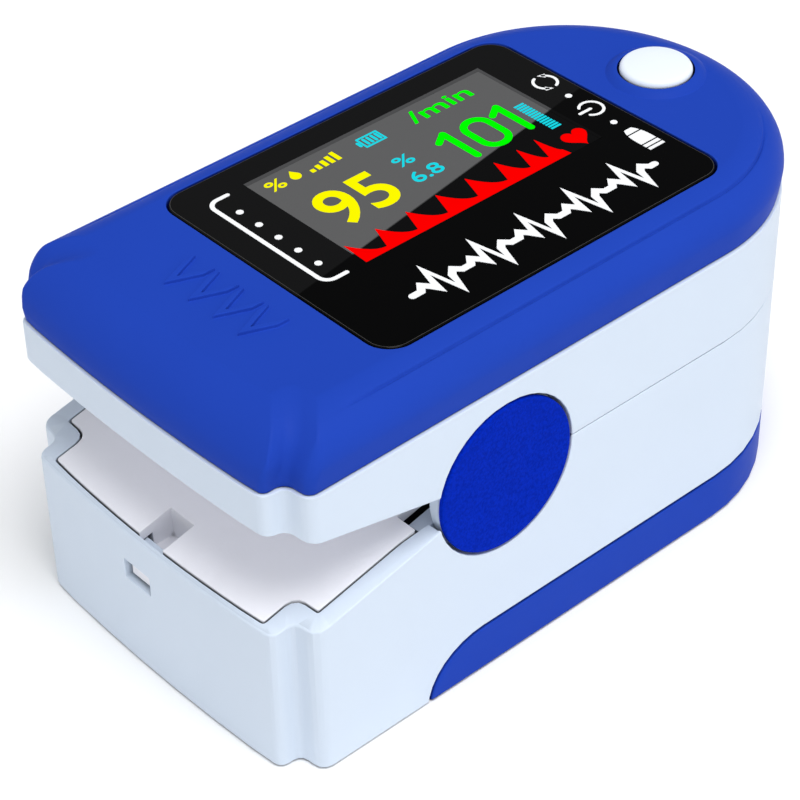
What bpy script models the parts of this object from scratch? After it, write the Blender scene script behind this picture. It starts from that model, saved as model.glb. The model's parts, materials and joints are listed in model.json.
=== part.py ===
"""Fingertip pulse oximeter, modelled as an assembly of separate parts.

Metres, +Z up.  X is the width and the hinge axis, Y the length.  The finger
goes in from +Y, and the -Y ends of the two halves are squeezed together to
open the clip.  The origin is at the middle of the footprint, on the surface
that the oximeter rests on.
"""
import math

import bmesh
import bpy
from mathutils import Matrix, Vector

# ---------------------------------------------------------------- outline
HALF_WIDTH = 0.0160
FRONT_Y = -0.02925
REAR_Y = 0.02925
FRONT_BOW = 0.0005          # how far the front face bows out at its middle
NOSE_HALF = 0.0137          # half width of the narrower front
SHOULDER_Y = -0.02678       # where the nose widens to the full body
ROUND_Y = 0.01384           # the sides turn into the rear half ellipse here
NOSE_RADIUS = 0.0008
STEP_RADIUS = 0.0007
SHOULDER_RADIUS = 0.0010
SHARP_RADIUS = 0.0002       # smallest corner that an inset outline keeps
SHOULDER_RAKE = 0.00006     # the shoulders lean back a little towards the sides
REAR_DRAFT = 0.0005         # how far the rear leans in where it meets the table

# ---------------------------------------------------------------- heights
TOP_Z = 0.0304
COLOUR_SPLIT_Z = 0.02554    # top cover above, white upper shell below
UPPER_START_Z = 0.0100      # the uncut upper shell starts here
LOWER_END_Z = 0.0200        # and the uncut lower shell ends here
INSERT_START_Z = 0.0050
PIVOT_Y = -0.0087
PIVOT_Z = 0.01744
LOWER_WEDGE = math.tan(math.radians(12.6))
UPPER_WEDGE = math.tan(math.radians(12.7))
COVER_EDGE_Z = 0.0041       # top edge of the battery cover on the sides
COVER_FRONT_Y = -0.0162
COVER_CURVE = 0.0055        # length of the cover's curved front corner
BOTTOM_ROUND = 0.00025
SIDE_ROUND = 0.0027         # rounding along the sides of the top cover
SIDE_ROUND_Z = 0.02735      # height of its centre
SIDE_ROUND_ANGLE = 65.0     # it stops here, and a gentle slope leads to the flat panel
PANEL_INSET = 0.00315
FRONT_ROUND = 0.0050        # larger rounding over the press end

# ---------------------------------------------------------------- walls and gaps
WALL = 0.0014
COVER_WALL = 0.0014
COVER_FRONT_WALL = 0.0036   # the hollow keeps clear of the rounded front
CEILING_Z = 0.0284          # underside of the top cover
FLOOR = 0.0012
GAP = 0.00015               # between faces that meet
CLEAR = 0.0003              # between round pieces, and where a piece moves
PAST = 0.0010               # how far a cutter runs past what it cuts
FAR = 0.040                 # larger than any half of the body
PAD_EDGE = 0.00045          # the soft pads end this far inside the rear outline

# ---------------------------------------------------------------- window, display, button
WINDOW_HALF = (0.01256, 0.0167)
WINDOW_Y = 0.0001
WINDOW_RADIUS = 0.0020
WINDOW_Z = (0.0293, 0.03032)
SEAT_MARGIN = 0.0020
DISPLAY_Z = (0.0274, 0.0290)
DISPLAY_FRAME_Z = (0.02615, 0.02725)
FRAME_BAR = 0.0016
DISPLAY_CORNER = 0.0008
BOARD_Z = (0.0250, 0.0260)
BOARD_INSET = 0.0023
BOARD_FRONT_INSET = 0.0045
BUTTON_Y = 0.0224
BUTTON_RADIUS = 0.00285
BUTTON_TOP_Z = 0.03135
BUTTON_EDGE = 0.0005
BUTTON_CROWN = 0.0001
BUTTON_BASE_Z = 0.0280
FLANGE_RADIUS = 0.0035
FLANGE_THICKNESS = 0.00025
SWITCH_HALF = 0.0022
SWITCH_Z = (0.02612, 0.0271)
PLUNGER_RADIUS = 0.0010
PLUNGER_Z = (0.0268, 0.0277)
PLUNGER_POCKET_Z = 0.0264
BUTTON_BOSS = ((0.0, 0.00040), (0.0031, 0.00040), (0.0035, 0.00034), (0.0039, 0.00016),
               (0.0043, -0.00006), (0.0046, -0.00030), (0.0046, -0.0010), (0.0, -0.0010))    # above TOP_Z
PRESS_MARK_X = (-0.00405, -0.00135, 0.00135, 0.00405)
PRESS_MARK_TIP_Y = -0.02255
PRESS_MARK_REACH = 0.0026
PRESS_MARK_HALF = 0.0011
PRESS_MARK_STROKE = 0.0011      # along Y, so the slanting arms are half as thick
PRESS_MARK_PROUD = 0.00028
CONTROLLER_CHIP = ((-0.0045, -0.0155), (0.0035, 0.0035))    # middle, half size
SIGNAL_CHIP = ((0.0060, -0.0150), (0.0025, 0.0020))
CHIP_HEIGHT = 0.0009
COVER_SCREWS = ((0.0121, -0.0185), (-0.0121, -0.0185), (0.0108, 0.0180), (-0.0108, 0.0180))
BOSS_RADIUS = 0.0011
SCREW_RADIUS = 0.0005
SCREW_HEAD_RADIUS = 0.0010
SCREW_HEAD = 0.0006
SCREW_LENGTH = 0.0020
SCREW_SLOT = 0.00015
SCREW_CLEARANCE = 0.0007

# ---------------------------------------------------------------- hinge
POCKET_RADIUS = 0.0065
POCKET_FLOOR_X = 0.0142
POCKET_WALL_RADIUS = 0.0072
POCKET_WALL_X = 0.0129
DRUM_RADIUS = 0.0061
DRUM_X = (0.01435, 0.01545)
CAP_X = (0.01560, 0.01608)
CAP_RADIUS = 0.0062
EAR_RADIUS = 0.0026
LOWER_EAR_X = (0.0129, 0.0141)
UPPER_EAR_X = (0.0114, 0.0126)
UPPER_ARM_HALF = 0.0022
BRIDGE_HALF = 0.0020
BRIDGE_Z = (0.0206, 0.0218)
PIN_RADIUS = 0.0010
PIN_HOLE_RADIUS = 0.0012
PIN_X = (0.0072, 0.0150)
SPRING_X = (0.0077, 0.0107)
SPRING_RADIUS = 0.00175
SPRING_WIRE = 0.0003
SPRING_TURNS = 4
SPRING_LEG = 0.0034
NOTCH_X = 0.0069            # the inserts leave room for the springs outside this
NOTCH_Y = (-0.0128, -0.0053)

# ---------------------------------------------------------------- finger chamber
CHAMBER_Y = -0.0040
CHAMBER_HALF = 0.0078
CHAMBER_DOWN = 0.0037
CHAMBER_UP = 0.0049
PAD = 0.0008
SHEET = 0.0009              # thickness of the two inserts
CHAMBER_LAYERS = (0.0, PAD, PAD + GAP, PAD + GAP + SHEET)
OPTIC_Y = 0.0060
OPTIC_RADIUS = 0.0018
EMITTER_Z = (0.0227, 0.0243)
EMITTER_BOARD_Z = (0.0244, 0.0248)
DETECTOR_Z = (0.0119, 0.0135)
DETECTOR_BOARD_Z = (0.0111, 0.01175)
DOME = 0.0004               # rise of the lens faces towards the finger
EMITTER_BOARD_HALF = (0.0030, 0.0040)
DETECTOR_BOARD_HALF = (0.0018, 0.0040)

# ---------------------------------------------------------------- lower insert and latch
RIM_SIDE = 0.0015
RIM_FRONT = 0.0005
NECK_HALF = 0.0125          # the inserts narrow to this beside the hinge drums
RECESS_HALF = 0.00135
RECESS_Y = (-0.02865, -0.02565)
RECESS_DEPTH = 0.0020
RECESS_WALL = 0.0007
LATCH_X = -0.0013
LATCH_HALF = 0.0015
LATCH_Z = (0.0081, 0.0099)
LATCH_ARM_Y = (-0.02745, -0.0267)

# ---------------------------------------------------------------- batteries and contacts
CELL_RADIUS = 0.00525
CELL_LENGTH = 0.0445
CELL_X = 0.0056
CELL_Z = 0.00675
CELL_Y = -0.0225            # front end of both cells
CELL_EDGE = 0.0003
NUB_RADIUS = 0.0024
NUB_LENGTH = 0.0010
BAY_WALL_Y = (-0.0262, -0.0253)
BAY_REAR_Y = (0.0232, 0.0240)
BAY_WALL_Z = (0.0022, 0.0128)
BAY_FRONT_HALF = 0.0108
BAY_REAR_HALF = 0.0090
CONTACT = 0.0003
CONTACT_HALF = 0.0036
CELL_SPRING_WIRE = 0.0003
CELL_SPRING_TURNS = 3
CELL_SPRING_RADII = (0.0031, 0.0018)

COLLECTION = "fingertip_pulse_oximeter"
BLUE = (0.020, 0.062, 0.480)
DISC_BLUE = (0.002, 0.020, 0.460)
WHITE = (0.74, 0.79, 0.88)
INSERT_WHITE = (0.60, 0.63, 0.70)
PAD_GREY = (0.42, 0.44, 0.48)
BLACK = (0.004, 0.004, 0.005)
BOARD_GREEN = (0.010, 0.120, 0.045)
CHIP_BLACK = (0.015, 0.015, 0.017)
STEEL = (0.60, 0.60, 0.61)
CELL_GREY = (0.25, 0.27, 0.30)


# ================================================================ scene helpers
def clear_scene():
    """Remove what the scene holds, and make the two collections."""
    for item in list(bpy.data.objects):
        bpy.data.objects.remove(item, do_unlink=True)
    for name in (COLLECTION, "cutters"):
        made = bpy.data.collections.new(name)
        bpy.context.scene.collection.children.link(made)
    bpy.data.collections["cutters"].hide_render = True


def material(name, colour, roughness, metallic=0.0):
    """One Principled material, made once and then shared."""
    found = bpy.data.materials.get(name)
    if found:
        return found
    made = bpy.data.materials.new(name)
    made.use_nodes = True
    shader = made.node_tree.nodes["Principled BSDF"]
    shader.inputs["Base Color"].default_value = (*colour, 1.0)
    shader.inputs["Roughness"].default_value = roughness
    shader.inputs["Metallic"].default_value = metallic
    made.diffuse_color = (*colour, 1.0)
    return made


def add_object(name, mesh, finish=None):
    """Link a mesh as a part, or as a cutter where it has no finish."""
    made = bpy.data.objects.new(name, mesh)
    home = COLLECTION if finish else "cutters"
    bpy.data.collections[home].objects.link(made)
    if finish:
        mesh.materials.append(finish)
    else:
        made.hide_render = True
        made.display_type = "WIRE"
    return made


def boolean(target, tool, operation):
    """Add an exact Boolean, whose tool stays as a cutter."""
    modifier = target.modifiers.new(operation.lower(), "BOOLEAN")
    modifier.operation = operation
    modifier.object = tool
    modifier.solver = "EXACT"
    return target


def cut(target, *tools):
    for tool in tools:
        boolean(target, tool, "DIFFERENCE")
    return target


def join(target, *tools):
    for tool in tools:
        boolean(target, tool, "UNION")
    return target


def bevel(target, width, segments=2, angle=40.0):
    """Round the edges that turn by more than the angle."""
    modifier = target.modifiers.new("bevel", "BEVEL")
    modifier.width = width
    modifier.segments = segments
    modifier.limit_method = "ANGLE"
    modifier.angle_limit = math.radians(angle)
    return target


def smooth(mesh, angle=35.0):
    mesh.shade_smooth()
    mesh.set_sharp_from_angle(angle=math.radians(angle))


def moved(target, location=(0.0, 0.0, 0.0), rotation=None):
    """Place an object, and give it a turn where it has one."""
    target.location = location
    if rotation:
        target.rotation_euler = rotation
    return target


# ================================================================ shape helpers
def box(name, low, high, finish=None):
    """A box between two corners, with its origin at its middle."""
    shape = bmesh.new()
    size = Vector(high) - Vector(low)
    bmesh.ops.create_cube(shape, size=1.0, matrix=Matrix.Diagonal((*size, 1.0)))
    mesh = bpy.data.meshes.new(name)
    shape.to_mesh(mesh)
    shape.free()
    return moved(add_object(name, mesh, finish), (Vector(low) + Vector(high)) / 2.0)


def plate(name, outline, z_range, finish=None):
    """A flat outline in X and Y, filled and extruded between two heights."""
    curve = bpy.data.curves.new(name, "CURVE")
    curve.dimensions = "2D"
    curve.fill_mode = "BOTH"
    curve.extrude = (z_range[1] - z_range[0]) / 2.0
    spline = curve.splines.new("POLY")
    spline.points.add(len(outline) - 1)
    for point, (x, y) in zip(spline.points, outline):
        point.co = (x, y, 0.0, 1.0)
    spline.use_cyclic_u = True
    drawn = bpy.data.objects.new(name + "_outline", curve)
    bpy.context.scene.collection.objects.link(drawn)
    drawn.location.z = sum(z_range) / 2.0
    bpy.context.view_layer.update()
    mesh = bpy.data.meshes.new_from_object(drawn.evaluated_get(bpy.context.evaluated_depsgraph_get()))
    place = drawn.matrix_world.copy()
    bpy.data.objects.remove(drawn)
    bpy.data.curves.remove(curve)
    shape = bmesh.new()
    shape.from_mesh(mesh)
    bmesh.ops.remove_doubles(shape, verts=shape.verts, dist=1e-6)
    bmesh.ops.recalc_face_normals(shape, faces=shape.faces)
    shape.to_mesh(mesh)
    shape.free()
    mesh.name = name
    mesh.materials.clear()
    made = add_object(name, mesh, finish)
    made.matrix_world = place
    return made


def side_plate(name, outline, half_width, finish=None):
    """A flat outline in Y and Z, extruded across the width."""
    made = plate(name, outline, (-half_width, half_width), finish)
    made.matrix_world = Matrix(((0, 0, 1, 0), (1, 0, 0, 0), (0, 1, 0, 0), (0, 0, 0, 1))) @ made.matrix_world
    return made


def end_plate(name, outline, y_range, finish=None):
    """A flat outline in X and Z, extruded along the length."""
    made = plate(name, [(-x, z) for x, z in outline], y_range, finish)
    turn = Matrix(((-1, 0, 0, 0), (0, 0, 1, 0), (0, 1, 0, 0), (0, 0, 0, 1)))
    made.matrix_world = turn @ made.matrix_world
    return made


def disc(name, radius, x_range, centre, finish=None, segments=40):
    """A cylinder whose axis runs along X."""
    shape = bmesh.new()
    bmesh.ops.create_cone(shape, cap_ends=True, segments=segments, radius1=radius, radius2=radius,
                          depth=abs(x_range[1] - x_range[0]),
                          matrix=Matrix.Rotation(math.pi / 2.0, 4, "Y"))
    mesh = bpy.data.meshes.new(name)
    shape.to_mesh(mesh)
    shape.free()
    smooth(mesh)
    made = add_object(name, mesh, finish)
    return moved(made, (sum(x_range) / 2.0, *centre))


def turned(name, profile, finish=None, segments=32):
    """A solid of revolution about Z: (radius, height) points, top to bottom."""
    mesh = bpy.data.meshes.new(name)
    shape = bmesh.new()
    points = [shape.verts.new((radius, 0.0, height)) for radius, height in profile]
    for start, end in zip(points, points[1:]):
        shape.edges.new((start, end))
    shape.to_mesh(mesh)
    shape.free()
    made = add_object(name, mesh, finish)
    screw = made.modifiers.new("turn", "SCREW")
    screw.steps = segments
    screw.render_steps = segments
    screw.use_merge_vertices = True
    screw.merge_threshold = 1e-6
    screw.use_normal_calculate = False
    screw.use_smooth_shade = True
    return made


def wire(name, points, radius, finish, centre=(0.0, 0.0, 0.0)):
    """A round wire along points, as a filled tube."""
    curve = bpy.data.curves.new(name, "CURVE")
    curve.dimensions = "3D"
    curve.bevel_depth = radius
    curve.bevel_resolution = 1
    curve.use_fill_caps = True
    spline = curve.splines.new("POLY")
    spline.points.add(len(points) - 1)
    for target, point in zip(spline.points, points):
        target.co = (*point, 1.0)
    curve.materials.append(finish)
    made = bpy.data.objects.new(name, curve)
    bpy.data.collections[COLLECTION].objects.link(made)
    return moved(made, centre)


def arc(centre, radius, start, end, steps):
    """Points on a circle between two angles in degrees."""
    points = []
    for step in range(steps + 1):
        angle = math.radians(start + (end - start) * step / steps)
        points.append((centre[0] + radius * math.cos(angle), centre[1] + radius * math.sin(angle)))
    return points


def rounded_rectangle(half_x, half_y, radius, centre_y=0.0, steps=5):
    """The outline of a rectangle with round corners, anticlockwise."""
    points = []
    corners = ((1, -1, -90.0), (1, 1, 0.0), (-1, 1, 90.0), (-1, -1, 180.0))
    for sign_x, sign_y, start in corners:
        centre = (sign_x * (half_x - radius), centre_y + sign_y * (half_y - radius))
        points += arc(centre, radius, start, start + 90.0, steps)
    return points


def plan_outline(side, front=None, shoulder=None, rear=0.0):
    """The body seen from above, inset by a distance from its sides.

    The nose's front face and the shoulders may have an inset of their own,
    and the rear may lean in further.
    """
    curve_steps = 12
    front = side if front is None else front
    shoulder = side if shoulder is None else shoulder
    nose_x = NOSE_HALF - side
    nose_y = FRONT_Y + FRONT_BOW + front
    shoulder_y = SHOULDER_Y + shoulder
    nose_radius = max(NOSE_RADIUS - front, SHARP_RADIUS)
    outer_radius = max(SHOULDER_RADIUS - side, SHARP_RADIUS)
    step_radius = min(STEP_RADIUS + side, 0.0010)
    right = []
    for step in range(6):
        x = (nose_x - nose_radius) * step / 6.0
        right.append((x, nose_y - FRONT_BOW * (1.0 - (x / nose_x) ** 2)))
    right += arc((nose_x - nose_radius, nose_y + nose_radius), nose_radius, -90.0, 0.0, 3)
    right += arc((nose_x + step_radius, shoulder_y - step_radius), step_radius, 180.0, 90.0, 3)
    right += arc((HALF_WIDTH - side - outer_radius, shoulder_y + SHOULDER_RAKE + outer_radius),
                 outer_radius, -90.0, 0.0, 3)
    for step in range(curve_steps + 1):
        angle = math.pi / 2.0 * step / curve_steps
        x = (HALF_WIDTH - side) * math.cos(angle)
        right.append((x, ROUND_Y + (REAR_Y - ROUND_Y - side - rear) * math.sin(angle)))
    left = [(-x, y) for x, y in reversed(right[1:-1])]
    return right + left


def loft(name, rings, finish=None):
    """A solid through a stack of matching outlines: (outline, height) from low to high."""
    shape = bmesh.new()
    loops = []
    for outline, height in rings:
        loops.append([shape.verts.new((x, y, height)) for x, y in outline])
    shape.faces.new(list(reversed(loops[0])))
    shape.faces.new(loops[-1])
    count = len(loops[0])
    for lower, upper in zip(loops, loops[1:]):
        for index in range(count):
            after = (index + 1) % count
            shape.faces.new((lower[index], lower[after], upper[after], upper[index]))
    bmesh.ops.recalc_face_normals(shape, faces=shape.faces)
    mesh = bpy.data.meshes.new(name)
    shape.to_mesh(mesh)
    shape.free()
    smooth(mesh)
    return add_object(name, mesh, finish)


def lean(height):
    """How far the rear has leaned in at a height."""
    return REAR_DRAFT * (1.0 - height / COLOUR_SPLIT_Z)


def bottom_rings(top_z):
    """Outlines of a housing part that stands on the table, up to a height."""
    return [(plan_outline(BOTTOM_ROUND, rear=lean(0.0)), 0.0),
            (plan_outline(0.0, rear=lean(BOTTOM_ROUND)), BOTTOM_ROUND),
            (plan_outline(0.0, rear=lean(top_z)), top_z)]


def half_tube(half, reach, offset, up, steps=20):
    """Half ellipse in X and Z below or above the split, closed past it."""
    sign = 1.0 if up else -1.0
    points = []
    for step in range(steps + 1):
        angle = math.pi * step / steps
        points.append((half * math.cos(angle), PIVOT_Z + sign * (offset + reach * math.sin(angle))))
    points.append((-half, PIVOT_Z - sign * PAST * 3.0))
    points.append((half, PIVOT_Z - sign * PAST * 3.0))
    return points


# ================================================================ outer shells
def top_cover(finish):
    """Blue cover over the display: rounded sides, a softer front, a window seat."""
    rings = [(plan_outline(0.0), COLOUR_SPLIT_Z + GAP / 2.0)]
    steps = 6
    for step in range(steps + 1):
        angle = math.radians(SIDE_ROUND_ANGLE) * step / steps
        side = SIDE_ROUND * (1.0 - math.cos(angle))
        height = SIDE_ROUND_Z + SIDE_ROUND * math.sin(angle)
        rise = (height - COLOUR_SPLIT_Z) / FRONT_ROUND
        front = max(FRONT_ROUND * (1.0 - math.sqrt(1.0 - rise * rise)), side)
        rings.append((plan_outline(side, front, front), height))
    rings.append((plan_outline(PANEL_INSET, FRONT_ROUND, FRONT_ROUND), TOP_Z))
    body = loft("top_cover", rings, finish)
    cavity = plate("cut_cover_cavity", plan_outline(COVER_WALL, COVER_FRONT_WALL, COVER_FRONT_WALL),
                   (COLOUR_SPLIT_Z - PAST, CEILING_Z))
    seat = plate("cut_window_seat",
                 rounded_rectangle(WINDOW_HALF[0] + GAP, WINDOW_HALF[1] + GAP, WINDOW_RADIUS, WINDOW_Y),
                 (WINDOW_Z[0] - GAP, TOP_Z + PAST))
    opening = plate("cut_display_opening",
                    rounded_rectangle(WINDOW_HALF[0] - SEAT_MARGIN, WINDOW_HALF[1] - SEAT_MARGIN,
                                      WINDOW_RADIUS / 2.0, WINDOW_Y),
                    (CEILING_Z - PAST, TOP_Z + PAST))
    hole = turned("cut_button_hole", [(0.0, TOP_Z + PAST), (BUTTON_RADIUS + GAP, TOP_Z + PAST),
                                      (BUTTON_RADIUS + GAP, CEILING_Z - PAST), (0.0, CEILING_Z - PAST)])
    moved(hole, (0.0, BUTTON_Y, 0.0))
    swell = turned("button_swell", [(radius, TOP_Z + rise) for radius, rise in BUTTON_BOSS], segments=40)
    join(body, moved(swell, (0.0, BUTTON_Y, 0.0)))
    for index, x in enumerate(PRESS_MARK_X):
        join(body, press_mark(index, x))
    cut(body, cavity, seat, opening, hole)
    for boss in screw_bosses("cover_boss", COVER_SCREWS, (BOARD_Z[1] + GAP, CEILING_Z + PAST / 2.0)):
        join(body, boss)
    return body


def press_mark(index, x):
    """One of a row of raised arrowheads that mark where the thumb presses."""
    back = PRESS_MARK_TIP_Y + PRESS_MARK_REACH
    outline = [(x, PRESS_MARK_TIP_Y), (x + PRESS_MARK_HALF, back),
               (x + PRESS_MARK_HALF, back + PRESS_MARK_STROKE), (x, PRESS_MARK_TIP_Y + PRESS_MARK_STROKE),
               (x - PRESS_MARK_HALF, back + PRESS_MARK_STROKE), (x - PRESS_MARK_HALF, back)]
    return plate(f"press_mark_{index + 1}", outline, (TOP_Z - PAST / 2.0, TOP_Z + PRESS_MARK_PROUD))


def screw_bosses(name, places, z_range):
    """Round posts that the screws go into, drilled from below."""
    bosses = []
    for index, (x, y) in enumerate(places):
        boss = turned(f"{name}_{index + 1}", [(0.0, z_range[1]), (BOSS_RADIUS, z_range[1]),
                                              (BOSS_RADIUS, z_range[0]), (SCREW_CLEARANCE, z_range[0]),
                                              (SCREW_CLEARANCE, z_range[1] - PAST),
                                              (0.0, z_range[1] - PAST)], segments=16)
        bosses.append(moved(boss, (x, y, 0.0)))
    return bosses


def upper_shell(finish):
    """White ring between the cover and the split, with its hinge ears."""
    top_z = COLOUR_SPLIT_Z - GAP / 2.0
    body = loft("upper_shell", [(plan_outline(0.0, rear=lean(UPPER_START_Z)), UPPER_START_Z),
                                (plan_outline(0.0, rear=lean(top_z)), top_z)], finish)
    cavity = plate("cut_upper_cavity", plan_outline(WALL + GAP, WALL, WALL + GAP), (0.0, TOP_Z))
    cut(body, cavity)
    for sign in (1, -1):
        join(body, disc(f"upper_pocket_wall_{side_name(sign)}", POCKET_WALL_RADIUS,
                        (sign * POCKET_WALL_X, sign * (HALF_WIDTH - WALL / 2.0)), (PIVOT_Y, PIVOT_Z)))
    split = side_plate("cut_below_split", seam_outline_for_cut(UPPER_WEDGE, True), HALF_WIDTH + PAST)
    mouth = end_plate("cut_upper_mouth",
                      half_tube(chamber_half(3), chamber_up(3), 0.0, True), (ROUND_Y, REAR_Y + PAST))
    cut(body, split, mouth)
    for sign in (1, -1):
        label = side_name(sign)
        clearance = disc(f"cut_lower_ear_room_{label}", EAR_RADIUS + CLEAR,
                         (sign * (LOWER_EAR_X[0] - PAST), sign * (POCKET_FLOOR_X + PAST)),
                         (PIVOT_Y, PIVOT_Z))
        cut(body, clearance)
        ear = disc(f"upper_ear_{label}", EAR_RADIUS, tuple(sign * x for x in UPPER_EAR_X),
                   (PIVOT_Y, PIVOT_Z))
        arm = box(f"upper_ear_arm_{label}",
                  low_corner(sign, UPPER_EAR_X, PIVOT_Y - UPPER_ARM_HALF, PIVOT_Z),
                  high_corner(sign, UPPER_EAR_X, PIVOT_Y + UPPER_ARM_HALF, BRIDGE_Z[1]))
        bridge_x = (UPPER_EAR_X[0], POCKET_WALL_X + PAST / 2.0)
        bridge = box(f"upper_ear_bridge_{label}",
                     low_corner(sign, bridge_x, PIVOT_Y - BRIDGE_HALF, BRIDGE_Z[0]),
                     high_corner(sign, bridge_x, PIVOT_Y + BRIDGE_HALF, BRIDGE_Z[1] - GAP))
        pocket = disc(f"cut_upper_pocket_{label}", POCKET_RADIUS,
                      (sign * POCKET_FLOOR_X, sign * (HALF_WIDTH + PAST)), (PIVOT_Y, PIVOT_Z))
        hole = disc(f"cut_upper_pin_hole_{label}", PIN_HOLE_RADIUS,
                    (sign * (UPPER_EAR_X[0] - PAST), sign * (HALF_WIDTH + PAST)),
                    (PIVOT_Y, PIVOT_Z), segments=20)
        join(body, ear, arm, bridge)
        cut(body, pocket, hole)
    return body


def lower_shell(finish):
    """White lower half: nose, rim, battery bay walls and hinge pockets."""
    body = loft("lower_shell", bottom_rings(LOWER_END_Z), finish)
    cavity = plate("cut_lower_cavity", plan_outline(WALL + CLEAR, WALL, WALL + CLEAR), (FLOOR, TOP_Z))
    cut(body, cavity)
    for sign in (1, -1):
        label = side_name(sign)
        join(body, disc(f"lower_pocket_wall_{label}", POCKET_WALL_RADIUS,
                        (sign * POCKET_WALL_X, sign * (HALF_WIDTH - WALL / 2.0)), (PIVOT_Y, PIVOT_Z)))
    split = side_plate("cut_above_split", seam_outline_for_cut(LOWER_WEDGE, False), HALF_WIDTH + PAST)
    insert_seat = plate("cut_insert_seat", plan_outline(RIM_SIDE, RIM_FRONT, RIM_SIDE), (0.0, TOP_Z))
    boolean(insert_seat, side_plate("seat_depth", sheet_profile(LOWER_WEDGE, False, SHEET + GAP, PAST),
                                    HALF_WIDTH), "INTERSECT")
    cover_room = side_plate("cut_cover_room", battery_cover_side(CLEAR), HALF_WIDTH + PAST)
    mouth = end_plate("cut_lower_mouth",
                      half_tube(chamber_half(3), chamber_down(3), 0.0, False), (ROUND_Y, REAR_Y + PAST))
    window = box("cut_latch_window", (LATCH_X - LATCH_HALF, FRONT_Y - PAST, LATCH_Z[0]),
                 (LATCH_X + LATCH_HALF, FRONT_Y + WALL + PAST, LATCH_Z[1]))
    cut(body, split, insert_seat, cover_room, mouth, window)
    for sign in (1, -1):
        label = side_name(sign)
        ear = disc(f"lower_ear_{label}", EAR_RADIUS, tuple(sign * x for x in LOWER_EAR_X),
                   (PIVOT_Y, PIVOT_Z))
        pocket = disc(f"cut_lower_pocket_{label}", POCKET_RADIUS,
                      (sign * POCKET_FLOOR_X, sign * (HALF_WIDTH + PAST)), (PIVOT_Y, PIVOT_Z))
        hole = disc(f"cut_lower_pin_hole_{label}", PIN_HOLE_RADIUS,
                    (sign * (LOWER_EAR_X[0] - PAST), sign * (HALF_WIDTH + PAST)),
                    (PIVOT_Y, PIVOT_Z), segments=20)
        join(body, ear)
        cut(body, pocket, hole)
    return body


def battery_cover(finish):
    """Blue sliding tray under the batteries."""
    body = loft("battery_cover", bottom_rings(COVER_EDGE_Z + PAST), finish)
    cavity = plate("cut_cover_tray", plan_outline(COVER_WALL), (FLOOR, TOP_Z))
    outside = side_plate("keep_cover_side", battery_cover_side(0.0), HALF_WIDTH + PAST)
    boolean(body, outside, "INTERSECT")
    return cut(body, cavity)


def battery_cover_side(gap):
    """The cover seen from the side: a quarter round at its front end."""
    top = COVER_EDGE_Z + gap
    low = -PAST / 4.0
    start_y = COVER_FRONT_Y - gap
    points = [(FAR, -PAST), (FAR, top)]
    steps = 8
    for step in range(steps + 1):
        angle = math.pi / 2.0 * step / steps
        y = start_y + COVER_CURVE * (1.0 - math.sin(angle))
        points.append((y, low + (top - low) * math.cos(angle)))
    points.append((start_y, -PAST))
    return points


def seam_outline_for_cut(slope, keep_up):
    """What a shell loses at the split, with half the gap on its side."""
    sign = 1.0 if keep_up else -1.0
    front_z = PIVOT_Z + sign * (slope * (PIVOT_Y + FAR) + GAP / 2.0)
    level_z = PIVOT_Z + sign * GAP / 2.0
    far_z = PIVOT_Z - sign * FAR
    return [(-FAR, front_z), (PIVOT_Y, level_z), (FAR, level_z), (FAR, far_z), (-FAR, far_z)]


def sheet_profile(slope, up, thickness, top=0.0):
    """Outline in Y and Z of a sheet that follows the split from inside one half."""
    sign = 1.0 if up else -1.0
    offsets = (GAP / 2.0 - top, GAP / 2.0 + thickness)
    points = []
    for offset in offsets:
        row = [(-FAR, PIVOT_Z + sign * (slope * (PIVOT_Y + FAR) + offset)),
               (PIVOT_Y, PIVOT_Z + sign * offset), (FAR, PIVOT_Z + sign * offset)]
        points += row if offset == offsets[0] else list(reversed(row))
    return points


def side_name(sign):
    return "right" if sign > 0 else "left"


def low_corner(sign, x_range, y, z):
    return (min(sign * x_range[0], sign * x_range[1]), y, z)


def high_corner(sign, x_range, y, z):
    return (max(sign * x_range[0], sign * x_range[1]), y, z)


# ================================================================ finger chamber
def chamber_half(layer):
    """Half width of the chamber: 0 pad inside, 1 pad outside, 2 insert inside, 3 insert outside."""
    return CHAMBER_HALF + CHAMBER_LAYERS[layer] + (CLEAR if layer == 3 else 0.0)


def chamber_down(layer):
    return CHAMBER_DOWN + CHAMBER_LAYERS[layer] + (CLEAR if layer == 3 else 0.0)


def chamber_up(layer):
    return CHAMBER_UP + CHAMBER_LAYERS[layer] + (CLEAR if layer == 3 else 0.0)


def finger_pad(name, up, finish):
    """Soft cup that holds the fingertip, closed at its inner end."""
    reach = chamber_up if up else chamber_down
    slope = UPPER_WEDGE if up else LOWER_WEDGE
    body = end_plate(name, half_tube(chamber_half(1), reach(1), 0.0, up),
                     (CHAMBER_Y - PAD, REAR_Y + PAST), finish)
    smooth(body.data)
    hollow = end_plate(f"cut_{name}_hollow", half_tube(chamber_half(0), reach(0), 0.0, up, 18),
                       (CHAMBER_Y, REAR_Y + PAST * 2.0))
    keep = plate(f"keep_{name}_plan", plan_outline(PAD_EDGE), (0.0, TOP_Z))
    split = side_plate(f"cut_{name}_split", seam_outline_for_cut(slope, up), HALF_WIDTH)
    optic = turned(f"cut_{name}_optic", [(0.0, TOP_Z), (OPTIC_RADIUS + CLEAR, TOP_Z),
                                         (OPTIC_RADIUS + CLEAR, PIVOT_Z), (0.0, PIVOT_Z)], segments=20)
    moved(optic, (0.0, OPTIC_Y, 0.0 if up else PIVOT_Z - TOP_Z))
    boolean(body, keep, "INTERSECT")
    return cut(body, split, hollow, optic)


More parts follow.
